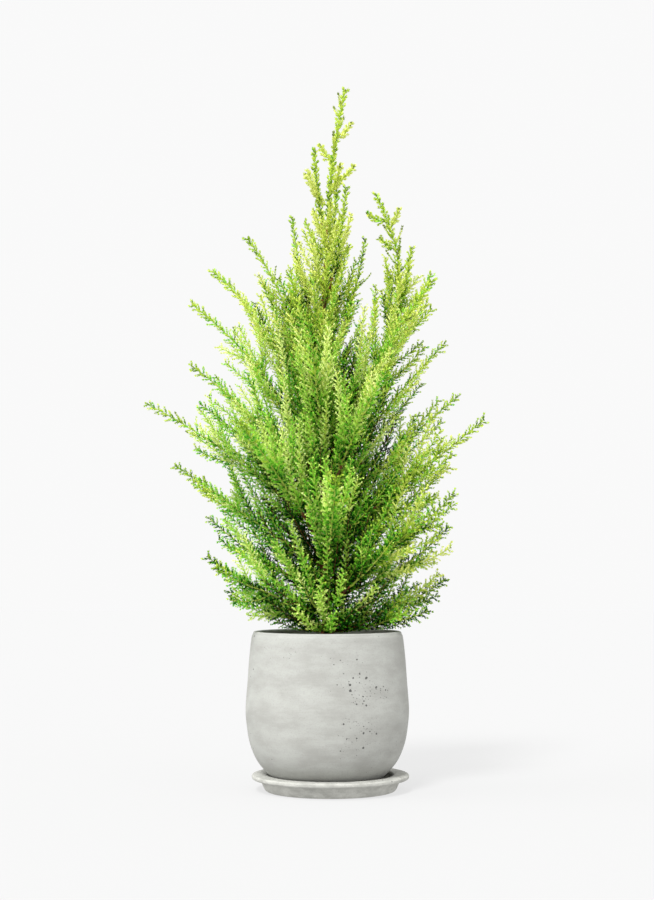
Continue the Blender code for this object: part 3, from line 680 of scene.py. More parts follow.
def pot_rim():
    """The rounded rim from its inner to its outer side."""
    inner_r = POT_RIM_R - POT_WALL + RIM_LEAN
    arc = np.linspace(math.pi, 0, RIM_STATIONS)
    middle, half = (inner_r + POT_RIM_R) / 2, (POT_RIM_R - inner_r) / 2
    low_z = POT_RIM_Z - RIM_ROUND
    return [(middle + half * np.cos(a), low_z + RIM_ROUND * np.sin(a) ** RIM_FLATNESS) for a in arc]


def make_pot():
    rim = pot_rim()
    inner = smooth_line([*pot_inner(), rim[0]], INNER_STATIONS)
    outer = smooth_line([rim[-1], *pot_outer()], OUTER_STATIONS)
    profile = [(0.0, inner[0][1]), *inner, *rim[1:-1], *outer, (0.0, POT_FOOT_Z)]
    finish = concrete_material("pot_concrete", *POT_LOOK)
    lathe("pot_finish", profile, POT_X, finish, "pot_concrete", ["pot"], POT_WAVINESS, POT_SEED)


def make_saucer():
    lip_z = SAUCER_TOP_Z - FLANGE_THICK
    corners = [
        (SAUCER_HOLE_R - SAUCER_CORNER - EDGE_ROUND, SAUCER_FLOOR),
        (SAUCER_HOLE_R - EDGE_ROUND / 2, SAUCER_FLOOR + SAUCER_CORNER / 2),
        (SAUCER_HOLE_R, SAUCER_TOP_Z),
        (SAUCER_FLANGE_R, SAUCER_TOP_Z),
        (SAUCER_FLANGE_R - GAP, lip_z),
        (SAUCER_WALL_R, lip_z),
        (SAUCER_FOOT_R + GAP, 0.0),
        (SAUCER_FOOT_R - EDGE_ROUND * 2, 0.0),
    ]
    dense = [corners[0]]
    for start, end in zip(corners, corners[1:]):
        start, end = np.array(start), np.array(end)
        length = np.linalg.norm(end - start)
        edge = min(EDGE_ROUND, length / 3) / length
        dense += [start + (end - start) * edge, (start + end) / 2, end - (end - start) * edge]
    dense.append(corners[-1])
    profile = [(0.0, SAUCER_FLOOR), *cut_corners(dense, CORNER_ROUNDS), (0.0, 0.0)]
    finish = concrete_material("saucer_concrete", *SAUCER_LOOK)
    waves = (SAUCER_WAVINESS, SAUCER_SEED)
    lathe("saucer_finish", profile, 0.0, finish, "saucer_concrete", ["saucer"], *waves)


def soil_height(radius, edge_r):
    """The compost's height: level round the trunk, then a slope, then level to the edge."""
    heights = [SOIL_MOUND_Z, SOIL_MOUND_Z, SOIL_EDGE_Z, SOIL_EDGE_Z]
    return np.interp(radius, [0, SOIL_MOUND_R, SOIL_SLOPE_R, edge_r], heights)


def make_compost():
    """Crumbly compost: a lumpy top on a short closed body, with loose crumbs on it."""
    rng = dice(SOIL_SEED)
    inner_r, inner_z = zip(*pot_inner())
    edge_r = float(np.interp(SOIL_EDGE_Z, inner_z, inner_r)) - GAP
    low_z = SOIL_EDGE_Z - SOIL_DEPTH
    radius = np.linspace(0.0, edge_r - GAP, SOIL_RINGS + 1)[1:, None]
    angle = angles_round(SOIL_SIDES)
    lumps = rolling(LUMP_SEED, LUMP_WAVES, LUMP_TURNS)(angle, LUMP_STRETCH * radius)
    height = soil_height(radius, edge_r) + LUMP_HEIGHT * lumps
    height = height + rng.uniform(*SOIL_GRAIN, lumps.shape) - SOIL_SINK
    rings = turned(POT_X, radius, angle, height)
    skirt = rings[-1].copy()
    skirt[:, 2] = low_z
    ends = [(POT_X, 0, SOIL_MOUND_Z - SOIL_SINK), (POT_X, 0, low_z)]
    top = np.vstack([rings.reshape(-1, 3), skirt, *ends])
    faces_up = ring_faces(SOIL_RINGS + 1, SOIL_SIDES)[:, ::-1]
    points, faces = merged([(top, faces_up), crumbs(rng, edge_r - CRUMB_MARGIN)])
    add_piece("compost_crumbs", points, faces, compost_material(), "compost", ["compost"])


def crumbs(rng, reach):
    """Loose irregular lumps of eight faces each, strewn over the compost."""
    corners = np.array([(1, 0, 0), (0, 1, 0), (-1, 0, 0), (0, -1, 0), (0, 0, 1), (0, 0, -1)], float)
    ring = [(0, 1), (1, 2), (2, 3), (3, 0)]
    sides = np.array([(a, b, 4) for a, b in ring] + [(b, a, 5) for a, b in ring])
    radius = reach * np.sqrt(rng.uniform(CRUMB_FREE, 1, CRUMB_COUNT))
    angle = rng.uniform(0, 2 * math.pi, CRUMB_COUNT)
    low = soil_height(radius, reach) - CRUMB_SINK
    size = CRUMB_SIZE + CRUMB_MORE * rng.uniform(0, 1, CRUMB_COUNT) ** 3
    where = np.stack([POT_X + radius * np.cos(angle), radius * np.sin(angle), low], axis=1)
    turn = rng.uniform(0, 2 * math.pi, CRUMB_COUNT)[:, None]
    rough = corners * rng.uniform(*CRUMB_STRETCH, (CRUMB_COUNT, len(corners), 1))
    flat = (rough + rng.normal(0, CRUMB_STRAY, rough.shape)) * CRUMB_SHAPE
    turned_x = flat[..., 0] * np.cos(turn) - flat[..., 1] * np.sin(turn)
    turned_y = flat[..., 0] * np.sin(turn) + flat[..., 1] * np.cos(turn)
    lumps = np.stack([turned_x, turned_y, flat[..., 2]], axis=2) * size[:, None, None]
    lumps += where[:, None]
    faces = sides + len(corners) * np.arange(CRUMB_COUNT)[:, None, None]
    return lumps.reshape(-1, 3), faces.reshape(-1, 3)


# Limbs by the solids' rule


TRUNK_AXIS = smooth_line(TRUNK_LINE, LINE_STATIONS)


def trunk_at(z):
    return np.array([np.interp(z, TRUNK_AXIS[:, 2], TRUNK_AXIS[:, k]) for k in range(3)])


def trunk_radius(z):
    share = (z - TRUNK_FOOT_Z) / (TRUNK_TOP_Z - TRUNK_FOOT_Z)
    flare = FLARE_R * np.exp(-(z - TRUNK_FOOT_Z) / FLARE_HEIGHT)
    return TRUNK_R + (TRUNK_TOP_R - TRUNK_R) * np.clip(share, 0, 1) ** TRUNK_TAPER + flare


def arch(start, tip, out_share, up_share):
    """A limb's line: a quadratic Bezier, as its start, middle control point and tip."""
    start, tip = np.asarray(start), np.asarray(tip)
    middle = start + (tip - start) * np.array([out_share, out_share, up_share])
    return start, middle, tip


def reach_to(azimuth, reach, z):
    return np.array([POT_X + reach * math.cos(azimuth), reach * math.sin(azimuth), z])


def fan(k, phase):
    """The k-th of a run of numbers that fill the span from -1 to 1 evenly."""
    return 2 * ((k * GOLDEN_RATIO + phase) % 1) - 1


def outline_tips():
    """Name, azimuth, reach and height of the limbs that make the outline on either side."""
    for side, azimuth, tips in (("left", math.pi, LEFT_TIPS), ("right", 0.0, RIGHT_TIPS)):
        for k, (reach, z) in enumerate(tips):
            turn = OUTLINE_SWING * fan(k + 2, 0.0)
            yield f"{side}_{k + 1}", azimuth + turn, reach / math.cos(turn), z


def deep_tips():
    """The same of those that point to the front and to the back, by turns."""
    sides = [("front", -math.pi / 2, FRONT_PHASE), ("back", math.pi / 2, BACK_PHASE)]
    for k in range(DEEP_LIMBS):
        z = DEEP_LOW_Z + (DEEP_HIGH_Z - DEEP_LOW_Z) * k / (DEEP_LIMBS - 1)
        side, ahead, phase = sides[k % 2]
        reach = CROWN_R - CROWN_TAPER * abs(z - CROWN_R_Z) ** CROWN_CURVE
        yield f"{side}_{k // 2 + 1}", ahead + DEEP_SWING * fan(k // 2, phase), reach, z


def run_along(points):
    """How far along its line each point lies."""
    return np.concatenate([[0], np.cumsum(np.linalg.norm(np.diff(points, axis=0), axis=1))])


def limb(name, curve):
    """A limb as a point at t = start + aim t + bend t², with its length and its even shares."""
    start, middle, tip = curve
    aim, bend = 2 * (middle - start), start - 2 * middle + tip
    t = np.linspace(0, 1, LIMB_STATIONS)
    run = run_along(start + aim * t[:, None] + bend * t[:, None] ** 2)
    made = SimpleNamespace(name=name, start=start, aim=aim, bend=bend)
    made.length, made.shares, made.times = run[-1], run / run[-1], t
    return made


def spread_limbs():
    """The limbs of the crown. Those whose tips are low and far out root lowest."""
    tips = sorted([*outline_tips(), *deep_tips()], key=lambda row: row[3] - REACH_LOWERS * row[2])
    for i, (name, azimuth, reach, z) in enumerate(tips):
        share = (i / (len(tips) - 1)) ** ROOT_SPACING
        root_z = between(ROOTS_Z, share)
        bend = np.interp(z, *BENDS) + (RIGHT_BEND if name.startswith("right") else 0)
        rise = BEND_SHARE * bend
        tip = reach_to(azimuth, reach, z)
        yield limb(name, arch(trunk_at(root_z), tip, 0.5 - rise, 0.5 + rise))


def second_leader():
    reach, z = SECOND_LEADER_TIP
    tip = reach_to(SECOND_LEADER_TURN, reach, z)
    return limb("second_leader", arch(trunk_at(SECOND_LEADER_ROOT_Z), tip, SECOND_LEADER_BOW, 0.5))


def crest_limbs():
    for k in range(CREST_LIMBS):
        share = k / (CREST_LIMBS - 1)
        root_z = between(CREST_ROOTS_Z, share)
        tip_z = between(CREST_TIPS_Z, share)
        reach = between(CREST_REACHES, share)
        tip = reach_to(CREST_TURN + k * GOLDEN_ANGLE, reach, tip_z)
        tip[0] += trunk_at(tip_z)[0] - POT_X
        yield limb(f"crest_{k + 1}", arch(trunk_at(root_z), tip, CREST_OUT, CREST_UP))


def leader():
    foot, top = trunk_at(TRUNK_TOP_Z), trunk_at(TRUNK_LINE[-1][2])
    through = trunk_at((foot[2] + top[2]) / 2)
    return limb("leader", (foot, 2 * through - (foot + top) / 2, top))


def all_limbs():
    """The limbs in the solids' order: spread from low to high, second leader, crest, leader."""
    return [*spread_limbs(), second_leader(), *crest_limbs(), leader()]


def along(one, share):
    """The point and the unit direction at a share of a limb's length."""
    t = np.interp(share, one.shares, one.times)
    point = one.start + one.aim * t + one.bend * t**2
    return point, unit(one.aim + 2 * one.bend * t)


def plume_width(share, length):
    """Half the width of a limb's foliage at a share of its length."""
    widest = PLUME_HALF_WIDTH * min(1.0, length / FULL_PLUME)
    rise = min(1.0, PLUME_ROOT + PLUME_SPREAD * max(share - TWIG_FIRST, 0))
    return widest * rise * (1 - share) ** PLUME_TAPER


def branchlet(index, one, k, share, angle, rise):
    """Root, heading and reach of branchlet k of a limb."""
    rng = dice(index, k)
    root, ahead = along(one, share)
    side, over = frame_of(ahead)
    spread = angle * rng.uniform(1 - TWIG_VARY, 1 + TWIG_VARY)
    roll = k * GOLDEN_ANGLE + index
    outward = math.cos(roll) * side + math.sin(roll) * over
    heading = unit(math.cos(spread) * ahead + math.sin(spread) * outward + np.array([0, 0, rise]))
    reach = plume_width(share, one.length) / math.sin(spread) * np.interp(share, *SLIMMING)
    if "leader" in one.name:
        reach = max(reach, LEADER_SHOOT_REACH)
    if one.name == "leader":
        reach = np.interp(root[2], *LEADER_REACHES)
    return root, heading, reach * rng.uniform(1 - TWIG_VARY, 1 + TWIG_VARY)


# Strands


class Strands:
    """Many curved strands. A point of one at t is start + aim t + bend t²."""

    def __init__(self, start, aim, bend, exposure=None):
        self.start, self.aim, self.bend = start, aim, bend
        self.exposure = exposure
        marks = np.stack([self.at(t) for t in (0.0, 0.25, 0.5, 0.75, 1.0)])
        self.length = np.linalg.norm(np.diff(marks, axis=0), axis=2).sum(axis=0)

    def at(self, t, who=slice(None)):
        t = np.asarray(t)[..., None] if np.ndim(t) else t
        return self.start[who] + self.aim[who] * t + self.bend[who] * t**2

    def ahead(self, t, who=slice(None)):
        t = np.asarray(t)[..., None] if np.ndim(t) else t
        return unit(self.aim[who] + 2 * self.bend[who] * t)

    def only(self, keep):
        return Strands(self.start[keep], self.aim[keep], self.bend[keep], self.exposure[keep])


def joined(parts):
    keys = ("start", "aim", "bend", "exposure")
    return Strands(*[np.concatenate([getattr(part, key) for part in parts]) for key in keys])


def stations(counts):
    """For each station, the strand it stands on and its number there."""
    owner = np.repeat(np.arange(len(counts)), counts)
    return owner, np.arange(counts.sum()) - np.repeat(np.cumsum(counts) - counts, counts)


def frame_of(ahead, up=UP):
    """Two unit vectors square to each direction."""
    side = unit(np.cross(ahead, up))
    return side, np.cross(side, ahead)


def circle(sides, ahead, up=UP):
    """Points of a unit circle square to each direction."""
    side, over = frame_of(ahead, up)
    angle = angles_round(sides)[:, None]
    return np.cos(angle) * side[..., None, :] + np.sin(angle) * over[..., None, :]


def turned_off(ahead, roll, spread):
    """The direction square to each at a roll round it, and the heading spread towards that."""
    side, over = frame_of(ahead)
    roll, spread = roll[:, None], spread[:, None]
    outward = np.cos(roll) * side + np.sin(roll) * over
    return outward, unit(np.cos(spread) * ahead + np.sin(spread) * outward)


def sprout(root, heading, reach, curve, lean):
    """Strands that set out a little off their heading and curve towards the lean."""
    bend = lean * (curve * reach)[:, None]
    return root, heading * reach[:, None] - bend, bend


def lit(points):
    """How far out in the crown a point is: 0 at the trunk, about 1 at the crown's side."""
    axis_x = np.interp(points[:, 2], TRUNK_AXIS[:, 2], TRUNK_AXIS[:, 0])
    away = np.hypot(points[:, 0] - axis_x, points[:, 1])
    sideways = away / np.interp(points[:, 2], CROWN_HEIGHTS, CROWN_RADII)
    return np.clip(np.maximum(sideways, (points[:, 2] - TOP_FROM_Z) / TOP_SPAN), 0, MOST_LIT)


def boldness(strands):
    """How much thicker than most a twiglet is, by its height and how far out it stands."""
    out = np.interp(lit(strands.start), *OUTER_BOLDNESS)
    return out * np.interp(strands.start[:, 2], BOLD_HEIGHTS, TOP_BOLDNESS)


def height_tone(points):
    return np.interp(points[:, 2], *HEIGHT_TONES)


def least_tone(points):
    """The darkest exposure at a point: none inside the crown, and light at its outside."""
    low = np.interp(points[:, 2], *LOW_SHADE)
    return np.interp(lit(points), OUTER_LIT, OUTER_LEAST) + low


# Growth. A row holds a strand's root, heading and reach, the number of its limb, the share of
# the limb at which it stands, and the direction that it curves to.


def is_deep(one):
    return one.name.startswith(("front", "back"))


def curving_to(one, share):
    lift = DEEP_LIFT if is_deep(one) else BRANCHLET_LIFT
    return along(one, share)[1] + np.array([0.0, 0.0, lift])


def stations_apart(name, share):
    """How many twig stations lie from one branchlet to the next."""
    if name == "leader":
        return LEADER_EVERY
    if name.startswith("crest"):
        return CREST_EVERY
    if share <= SPARSE_FROM:
        return DENSE_EVERY
    return 1 if "leader" in name else SPARSE_EVERY


def branchlet_rows(index, one):
    leads = "leader" in one.name
    angle = LEADER_ANGLE if leads else TWIG_ANGLE
    rise = DEEP_TWIG_RISE if is_deep(one) else TWIG_RISE
    inner = -int((TWIG_FIRST - INNER_FIRST) * one.length / TWIG_STEP)
    for k in range(inner, int((TWIG_LAST - TWIG_FIRST) * one.length / TWIG_STEP)):
        share = TWIG_FIRST + k * TWIG_STEP / one.length
        if k % stations_apart(one.name, share) or (share > BRANCHLET_LAST and not leads):
            continue
        root, heading, reach = branchlet(index, one, abs(k), share, angle, rise)
        yield (*root, *heading, reach, index, share, *curving_to(one, share))


def wand_rows(index, one):
    rise = DEEP_RISE if is_deep(one) else WAND_RISE
    tip_z = one.start[2] + one.aim[2] + one.bend[2]
    step = np.interp(tip_z, *WAND_STEPS)
    for k in range(int((WAND_LAST - WAND_FIRST) * one.length / step)):
        share = WAND_FIRST + k * step / one.length
        root, heading, _ = branchlet(index, one, k + WAND_NUMBERS, share, WAND_ANGLE, rise)
        reach = np.interp(share, *WAND_REACHES) * min(1.0, one.length / FULL_PLUME)
        yield (*root, *heading, reach, index, share, *curving_to(one, share))


def trunk_rows(index):
    for k in range(TRUNK_SHOOTS):
        share = (k / TRUNK_SHOOTS) ** TRUNK_SHOOT_SPACING
        z = between(TRUNK_SHOOTS_Z, share)
        turn = k * GOLDEN_ANGLE
        angle = np.interp(z, TRUNK_SHOOT_HEIGHTS, TRUNK_SHOOT_ANGLES)
        out = math.sin(angle)
        heading = np.array([out * math.cos(turn), out * math.sin(turn), math.cos(angle)])
        reach = np.interp(z, TRUNK_SHOOT_HEIGHTS, TRUNK_SHOOT_REACHES)
        yield (*trunk_at(z), *heading, reach, index, 0.0, 0.0, 0.0, 1.0)


def grow_branchlets(limbs):
    """The branchlets, wands and trunk shoots, with the limb of each and its share there."""
    rows = []
    for index, one in enumerate(limbs):
        rows += branchlet_rows(index, one)
        if one.name != "leader" and not one.name.startswith("crest"):
            rows += wand_rows(index, one)
    rows += trunk_rows(len(limbs) - 1)
    root, heading, reach, limb_of, share_of, lean = np.split(np.array(rows), [3, 6, 7, 8, 9], axis=1)
    stray = dice(STRAY_SEED).normal(0, BRANCHLET_STRAY, lean.shape)
    made = Strands(*sprout(root, heading, reach[:, 0], BRANCHLET_CURVE, unit(lean + stray)))
    return made, limb_of[:, 0].astype(int), share_of[:, 0]


def grow_shoots(parents, first, step, root_reach, tip_reach, rng):
    """Short shoots all round the parents, shorter towards their tips."""
    counts = ((1 - first) * parents.length / step).astype(int) * (parents.length > PLAIN_LENGTH)
    owner, k = stations(counts)
    share = first + (k + 0.5) * (1 - first) / counts[owner]
    root = parents.at(share, owner)
    ahead = parents.ahead(share, owner)
    spread = np.interp(root[:, 2], *SHOOT_ANGLES)
    spread = spread * rng.uniform(*SHOOT_ANGLE_VARY, len(k))
    heading = turned_off(ahead, k * GOLDEN_ANGLE + owner * SHOOT_ROLL, spread)[1]
    reach = tip_reach + (root_reach - tip_reach) * (1 - share) ** SHOOT_TAPER
    room = np.minimum(1.0, SHORT_SHARE + parents.length[owner] / SHORT_GARLAND)
    thin = np.interp(root[:, 2], *THINNING)
    reach = reach * room * rng.uniform(*SHOOT_REACH_VARY, len(k)) * thin
    lean = unit(ahead + np.array([0.0, 0.0, SHOOT_LIFT]))
    calm = np.interp(root[:, 2], BOLD_HEIGHTS, SHOOT_CALM)
    exposure = parents.exposure[owner] + calm * np.interp(share, *SHARE_TONES)
    exposure += rng.normal(0, SHOOT_NOISE, len(k)) * np.interp(lit(root), OUTER_LIT, OUTER_CALM)
    exposure = np.maximum(exposure, least_tone(root))
    return Strands(*sprout(root, heading, reach, SHOOT_CURVE, lean), exposure)


def lift_tips(strands):
    """Lifts the ends that would hang below the rim."""
    strands.bend[:, 2] += np.maximum(POT_RIM_Z + RIM_CLEAR - strands.at(1.0)[:, 2], 0)


def outer_stems(limbs):
    """The green end of each limb's stem. The leader, which is the last, is green all along."""
    start = np.array([one.start for one in limbs])
    aim = np.array([one.aim for one in limbs])
    bend = np.array([one.bend for one in limbs])
    stems = Strands(start, aim, bend)
    tips = stems.at(1.0)
    first = np.full(len(limbs), GREEN_FROM)
    first[-1] = 0.0
    rest = (1 - first)[:, None]
    exposure = STEM_FROM + STEM_LIT_TONE * lit(tips) + STEM_HEIGHT_TONE * height_tone(tips)
    exposure[-1] += LEADER_TONE
    ahead = aim + 2 * bend * first[:, None]
    return Strands(stems.at(first), ahead * rest, bend * rest**2, exposure)


def expose(branchlets, limb_of, share_of, limb_count, rng):
    """Sets how light each branchlet is."""
    plume_tone = rng.normal(0, PLUME_NOISE, limb_count)
    points = branchlets.at(TONE_AT)
    # painted light: lighter to the left and the front, the key's side
    painted_key_light = -(PAINTED_LEFT_LIGHT * points[:, 0] + PAINTED_FRONT_LIGHT * points[:, 1]) / TONE_SPAN
    limb_tone = np.interp(share_of, *LIMB_TONES)
    # darker inside the crown: partly the deeper green of inner growth, partly painted shade
    exposure = TONE_FROM + LIT_TONE * lit(points) + limb_tone + height_tone(points) + painted_key_light
    calm = np.interp(points[:, 2], BOLD_HEIGHTS, BRANCHLET_CALM)
    exposure += plume_tone[limb_of] + calm * rng.normal(0, BRANCHLET_NOISE, len(points))
    branchlets.exposure = np.maximum(exposure, least_tone(points))


# Pieces of the plant


def tubes(strands, first_r, last_r, rings, sides):
    """Tapering tubes of few sides on every strand, as points and triangles."""
    shares = np.linspace(0, 1, rings)
    centre = np.stack([strands.at(t) for t in shares], axis=1)
    ahead = np.stack([strands.ahead(t) for t in shares], axis=1)
    least = np.eye(3)[np.abs(strands.ahead(0.5)).argmin(axis=1)]
    radius = between((first_r, last_r), shares)[None, :, None, None]
    points = centre[:, :, None] + radius * circle(sides, ahead, least[:, None])
    starts = np.arange(len(centre)) * rings * sides
    faces = split(ring_quads(rings, sides)) + starts[:, None, None]
    return points.reshape(-1, 3), faces.reshape(-1, 3)


def spindles(strands):
    """Twiglets as spindles of three sides, thickest at their waist."""
    radius = TWIGLET_R * boldness(strands)[:, None, None]
    waist = strands.at(TWIGLET_WAIST)[:, None] + radius * circle(3, strands.ahead(0.5))
    points = np.concatenate([strands.start[:, None], waist, strands.at(1.0)[:, None]], axis=1)
    sides = np.array([(0, 2, 1), (0, 3, 2), (0, 1, 3), (1, 2, 4), (2, 3, 4), (3, 1, 4)])
    faces = sides + points.shape[1] * np.arange(len(points))[:, None, None]
    return points.reshape(-1, 3), faces.reshape(-1, 3)


def needles_on(strands, first, rng):
    """Folded blades of two faces in whorls round every strand from its first share on: their
    points, the strand of each blade, its share there and whether it is in a bud at the tip."""
    counts = ((1 - first) * strands.length / NEEDLE_STEP).round().astype(int)
    counts = np.maximum(counts, LEAST_WHORLS)
    owner, k = stations(counts)
    owner, k = np.repeat(owner, NEEDLES_ROUND), np.repeat(k, NEEDLES_ROUND)
    blade = np.tile(np.arange(NEEDLES_ROUND), len(owner) // NEEDLES_ROUND)
    n = len(owner)
    place = k + 1 + rng.uniform(-NEEDLE_JITTER, 0.0, n)
    share = first[owner] + (1 - first[owner]) * place / counts[owner]
    roll = math.pi * k / NEEDLES_ROUND + 2 * math.pi * blade / NEEDLES_ROUND + owner * NEEDLE_ROLL
    roll = roll + rng.normal(0, ROLL_NOISE, n)
    in_bud = share > np.maximum(BUD_FROM, 1 - BUD_LENGTH / strands.length[owner])
    spreading = np.interp(strands.start[owner, 2], *NEEDLE_ANGLES)
    angle = np.where(in_bud, BUD_ANGLE, spreading) * rng.uniform(*NEEDLE_ANGLE_VARY, n)
    outward, heading = turned_off(strands.ahead(share, owner), roll, angle)
    bold = boldness(strands)[owner] * np.where(in_bud, BUD_BREADTH, 1.0)
    length = NEEDLE_LENGTH * bold * rng.uniform(*NEEDLE_LENGTH_VARY, n)
    length = (length * np.where(in_bud, BUD_NEEDLES, 1.0))[:, None]
    half = (0.5 * NEEDLE_WIDTH * bold * rng.uniform(*NEEDLE_WIDTH_VARY, n))[:, None]
    base = strands.at(share, owner) + outward * STRAND_R
    across = unit(np.cross(heading, outward))
    face = np.cross(across, heading)
    waist = base + heading * (NEEDLE_WAIST * length) + face * half * NEEDLE_FOLD
    tip = base + heading * length
    points = np.stack([base, waist - across * half, tip, waist + across * half], axis=1)
    return points, owner, share, in_bud


def add_blades(name, points, finish, nodes):
    """Blades of one colour as joined pieces under the limit of triangles each."""
    count = max(1, math.ceil(len(points) / (PIECE_TRIANGLES // 2)))
    for part, some in enumerate(np.array_split(points, count)):
        base = some.shape[1] * np.arange(len(some))[:, None]
        faces = np.concatenate([base + [0, 1, 2], base + [0, 2, 3]])
        label = name if count == 1 else f"{name}_{part + 1}"
        add_piece(label, some.reshape(-1, 3), faces, finish, "foliage", nodes)


def relief_tube(centre, radii, sides, depth, rng):
    """A bark-clad tube through the centres, with ridges that run along it, closed at its ends."""
    ahead = unit(np.gradient(centre, axis=0))
    angle = angles_round(sides)
    run = run_along(centre)[:, None]
    ridges = np.zeros((len(centre), sides))
    for _ in range(RIDGES):
        turns = rng.integers(*RIDGE_TURNS)
        twist = rng.uniform(-RIDGE_TWIST, RIDGE_TWIST)
        phase = rng.uniform(0, 2 * math.pi)
        ridges += np.sin(turns * angle + twist * run + phase) / RIDGES
    ridges += rng.uniform(-RIDGE_NOISE, RIDGE_NOISE, ridges.shape)
    radius = np.asarray(radii)[:, None] * (1 + depth * ridges)
    ring = circle(sides, ahead, (0.0, 1.0, 0.0))
    points = (centre[:, None] + radius[..., None] * ring).reshape(-1, 3)
    return np.vstack([points, centre[0], centre[-1]]), ring_faces(len(centre), sides)


def make_wood(limbs, nodes):
    """The trunk, and each limb's woody stem as far as the green shoots at its end."""
    rng = dice(WOOD_SEED)
    rise = np.linspace(0, 1, TRUNK_STATIONS) ** TRUNK_CROWDING
    heights = between((TRUNK_FOOT_Z, TRUNK_TOP_Z), rise)
    centre = np.array([trunk_at(z) for z in heights])
    parts = [relief_tube(centre, trunk_radius(heights), *TRUNK_BARK, rng)]
    shares = np.linspace(0, GREEN_FROM + BOUGH_OVERLAP, BOUGH_STATIONS)
    for one in limbs:
        if one.name == "leader":
            continue
        centre = np.array([along(one, s)[0] for s in shares])
        root_r = min(LIMB_ROOT_R, ROOT_TO_TRUNK * float(trunk_radius(one.start[2])))
        radii = between((root_r, LIMB_TIP_R), shares**BOUGH_TAPER)
        parts.append(relief_tube(centre, radii, *BOUGH_BARK, rng))
    points, faces = merged(parts)
    add_piece("trunk_and_boughs", points, faces, bark_material(), "bark", nodes, smooth=True)


def make_green_wood(outer, branchlets, nodes):
    """The thin stems inside the foliage: green outside and brown in the shade."""
    green = branchlets.exposure > GREEN_WOOD_FROM
    points, faces = merged([tubes(outer, *STEM_WOOD), tubes(branchlets.only(green), *GREEN_WOOD)])
    finish = plain_material("green_shoots", *GREEN_WOOD_LOOK)
    add_piece("green_shoots", points, faces, finish, "foliage", nodes, smooth=True)
    points, faces = tubes(branchlets.only(~green), *BROWN_WOOD)
    finish = plain_material("brown_twigs", *BROWN_WOOD_LOOK)
    add_piece("brown_twigs", points, faces, finish, "bark", nodes, smooth=True)


def is_olive(strands, rng):
    """Whether a strand has an olive green: outside, high up and on the right."""
    warmth = np.interp(lit(strands.start), OLIVE_LIT, [0.0, 1.0])
    warmth = np.maximum(warmth, np.interp(strands.start[:, 2], OLIVE_HEIGHTS, [0.0, 1.0]))
    warmth = np.maximum(warmth, strands.start[:, 0] / OLIVE_X)
    return warmth + rng.normal(0, OLIVE_SPREAD, len(warmth)) > OLIVE_FROM


def make_foliage(limbs, nodes):
    """Twiglets and needles on every garland, dealt out by colour."""
    rng = dice(FOLIAGE_SEED)
    branchlets, limb_of, share_of = grow_branchlets(limbs)
    expose(branchlets, limb_of, share_of, len(limbs), rng)
    lift_tips(branchlets)
    outer = outer_stems(limbs)
    side_shoots = grow_shoots(branchlets, *SIDE_SHOOTS, rng)
    twiglets = joined([side_shoots, grow_shoots(outer, *STEM_SHOOTS, rng)])
    lift_tips(twiglets)
    twiglets = twiglets.only(twiglets.start[:, 2] > POT_RIM_Z - RIM_MARGIN)
    green = joined([outer, branchlets, twiglets])

    stems_first = np.where(branchlets.length > PLAIN_LENGTH, STEM_NEEDLES_FROM, 0.0)
    twigs_first = np.full(len(twiglets.start), TWIGLET_NEEDLES_FROM)
    first = np.concatenate([np.zeros(len(outer.start)), stems_first, twigs_first])
    blades, owner, share, in_bud = needles_on(green, first, rng)
    on_stem = owner < len(outer.start) + len(branchlets.start)
    in_bud &= on_stem
    # painted shade: needles on the garlands' own stems are darker, for the shaded core of each
    # garland
    core_shade = np.where(on_stem, STEM_CORE_SHADE, 0.0)
    # needles darker at a strand's root and lighter at its tip: partly young growth's own colour,
    # partly painted shade
    tone = np.digitize(green.exposure[owner] + core_shade + NEEDLE_TONE * (share - 0.5), GREEN_EDGES)
    twiglet_tone = np.digitize(twiglets.exposure, GREEN_EDGES)
    olive = is_olive(green, rng)
    twiglet_olive = olive[-len(twiglets.start):]
    for level, (name, cool, warm) in enumerate(GREENS):
        specular = SHADE_SPECULAR if level < SHADE_LEVELS else GREEN_SPECULAR
        for kind, colour, hue in (("green", cool, False), ("olive", warm, True)):
            finish = plain_material(f"{kind}_{name}", colour, GREEN_ROUGHNESS, specular)
            mine = (tone == level) & ~in_bud & (olive[owner] == hue)
            add_blades(f"needles_{kind}_{name}", blades[mine], finish, nodes)
            some = twiglets.only((twiglet_tone == level) & (twiglet_olive == hue))
            add_piece(f"twiglets_{kind}_{name}", *spindles(some), finish, "foliage", nodes)
    buds = plain_material("buds", *BUD_LOOK)
    add_blades("needles_buds", blades[in_bud], buds, nodes)
    make_green_wood(outer, branchlets, nodes)


# Studio


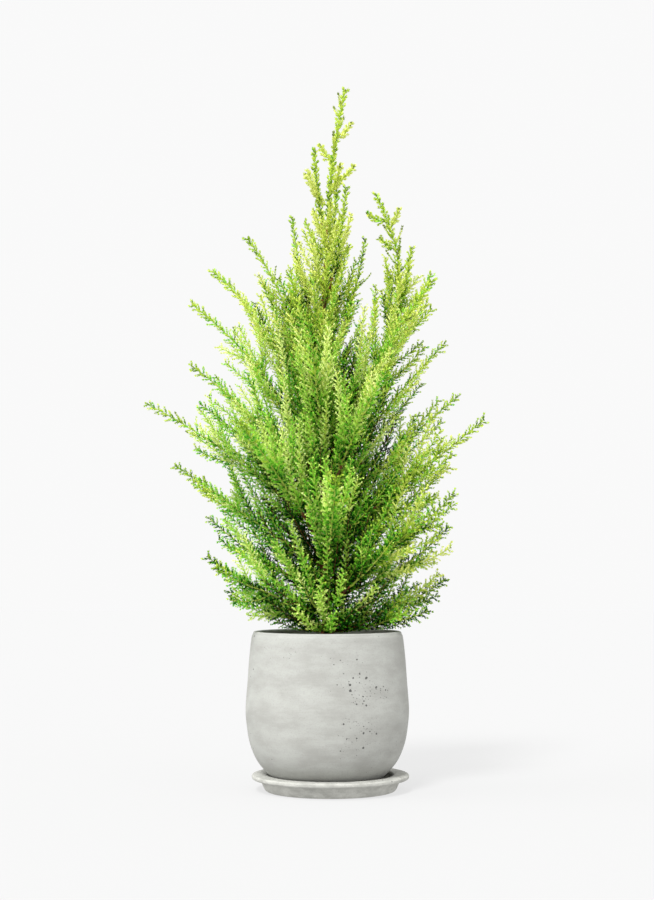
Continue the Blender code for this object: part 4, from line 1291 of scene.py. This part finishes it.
def make_floor():
    mesh = bpy.data.meshes.new("floor")
    square = [(-1, -1), (1, -1), (1, 1), (-1, 1)]
    mesh.from_pydata([(FLOOR_REACH * x, FLOOR_REACH * y, 0) for x, y in square], [], [(0, 1, 2, 3)])
    finish = plain_material("floor", *FLOOR_LOOK)
    shader = finish.node_tree.nodes["Principled BSDF"]
    shader.inputs["Emission Color"].default_value = (1, 1, 1, 1)
    shader.inputs["Emission Strength"].default_value = FLOOR_GLOW
    mesh.materials.append(finish)
    floor = add_object("floor", mesh)
    floor.location.z = -FLOOR_DROP


def make_light():
    """Soft distant suns and a white world."""
    for name, (strength, width, elevation, azimuth) in SUNS.items():
        sun = bpy.data.lights.new(name, "SUN")
        sun.energy = strength
        sun.angle = math.radians(width)
        turn = (math.radians(90 - elevation), 0, -math.radians(azimuth))
        add_object(name, sun).rotation_euler = turn
    world = bpy.data.worlds.new("studio")
    bpy.context.scene.world = world
    world.use_nodes = True
    tree = world.node_tree
    seen = add_node(tree, "ShaderNodeLightPath").outputs["Is Camera Ray"]
    links = [("Value", seen), ("To Min", WORLD_LIGHT), ("To Max", WORLD_SEEN)]
    strength = add_node(tree, "ShaderNodeMapRange", links)
    tree.links.new(strength.outputs[0], tree.nodes["Background"].inputs["Strength"])
    tree.nodes["Background"].inputs["Color"].default_value = (1, 1, 1, 1)
    bpy.context.scene.view_settings.view_transform = "Standard"


def make_camera():
    data = bpy.data.cameras.new("camera")
    data.lens = CAMERA_LENS
    data.clip_end = CAMERA_END
    camera = add_object("camera", data)
    camera.location = CAMERA_AT
    camera.rotation_euler = (CAMERA_TILT, 0, 0)
    bpy.context.scene.camera = camera


def main():
    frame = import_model()
    names = sorted(frame["nodes"])
    foliage = [n for n in names if n.startswith("foliage")]
    boughs = [n for n in names if n.startswith("bough")]
    make_camera()
    make_light()
    make_floor()
    make_pot()
    make_saucer()
    make_compost()
    limbs = all_limbs()
    make_wood(limbs, ["trunk", *boughs])
    make_foliage(limbs, foliage)


main()
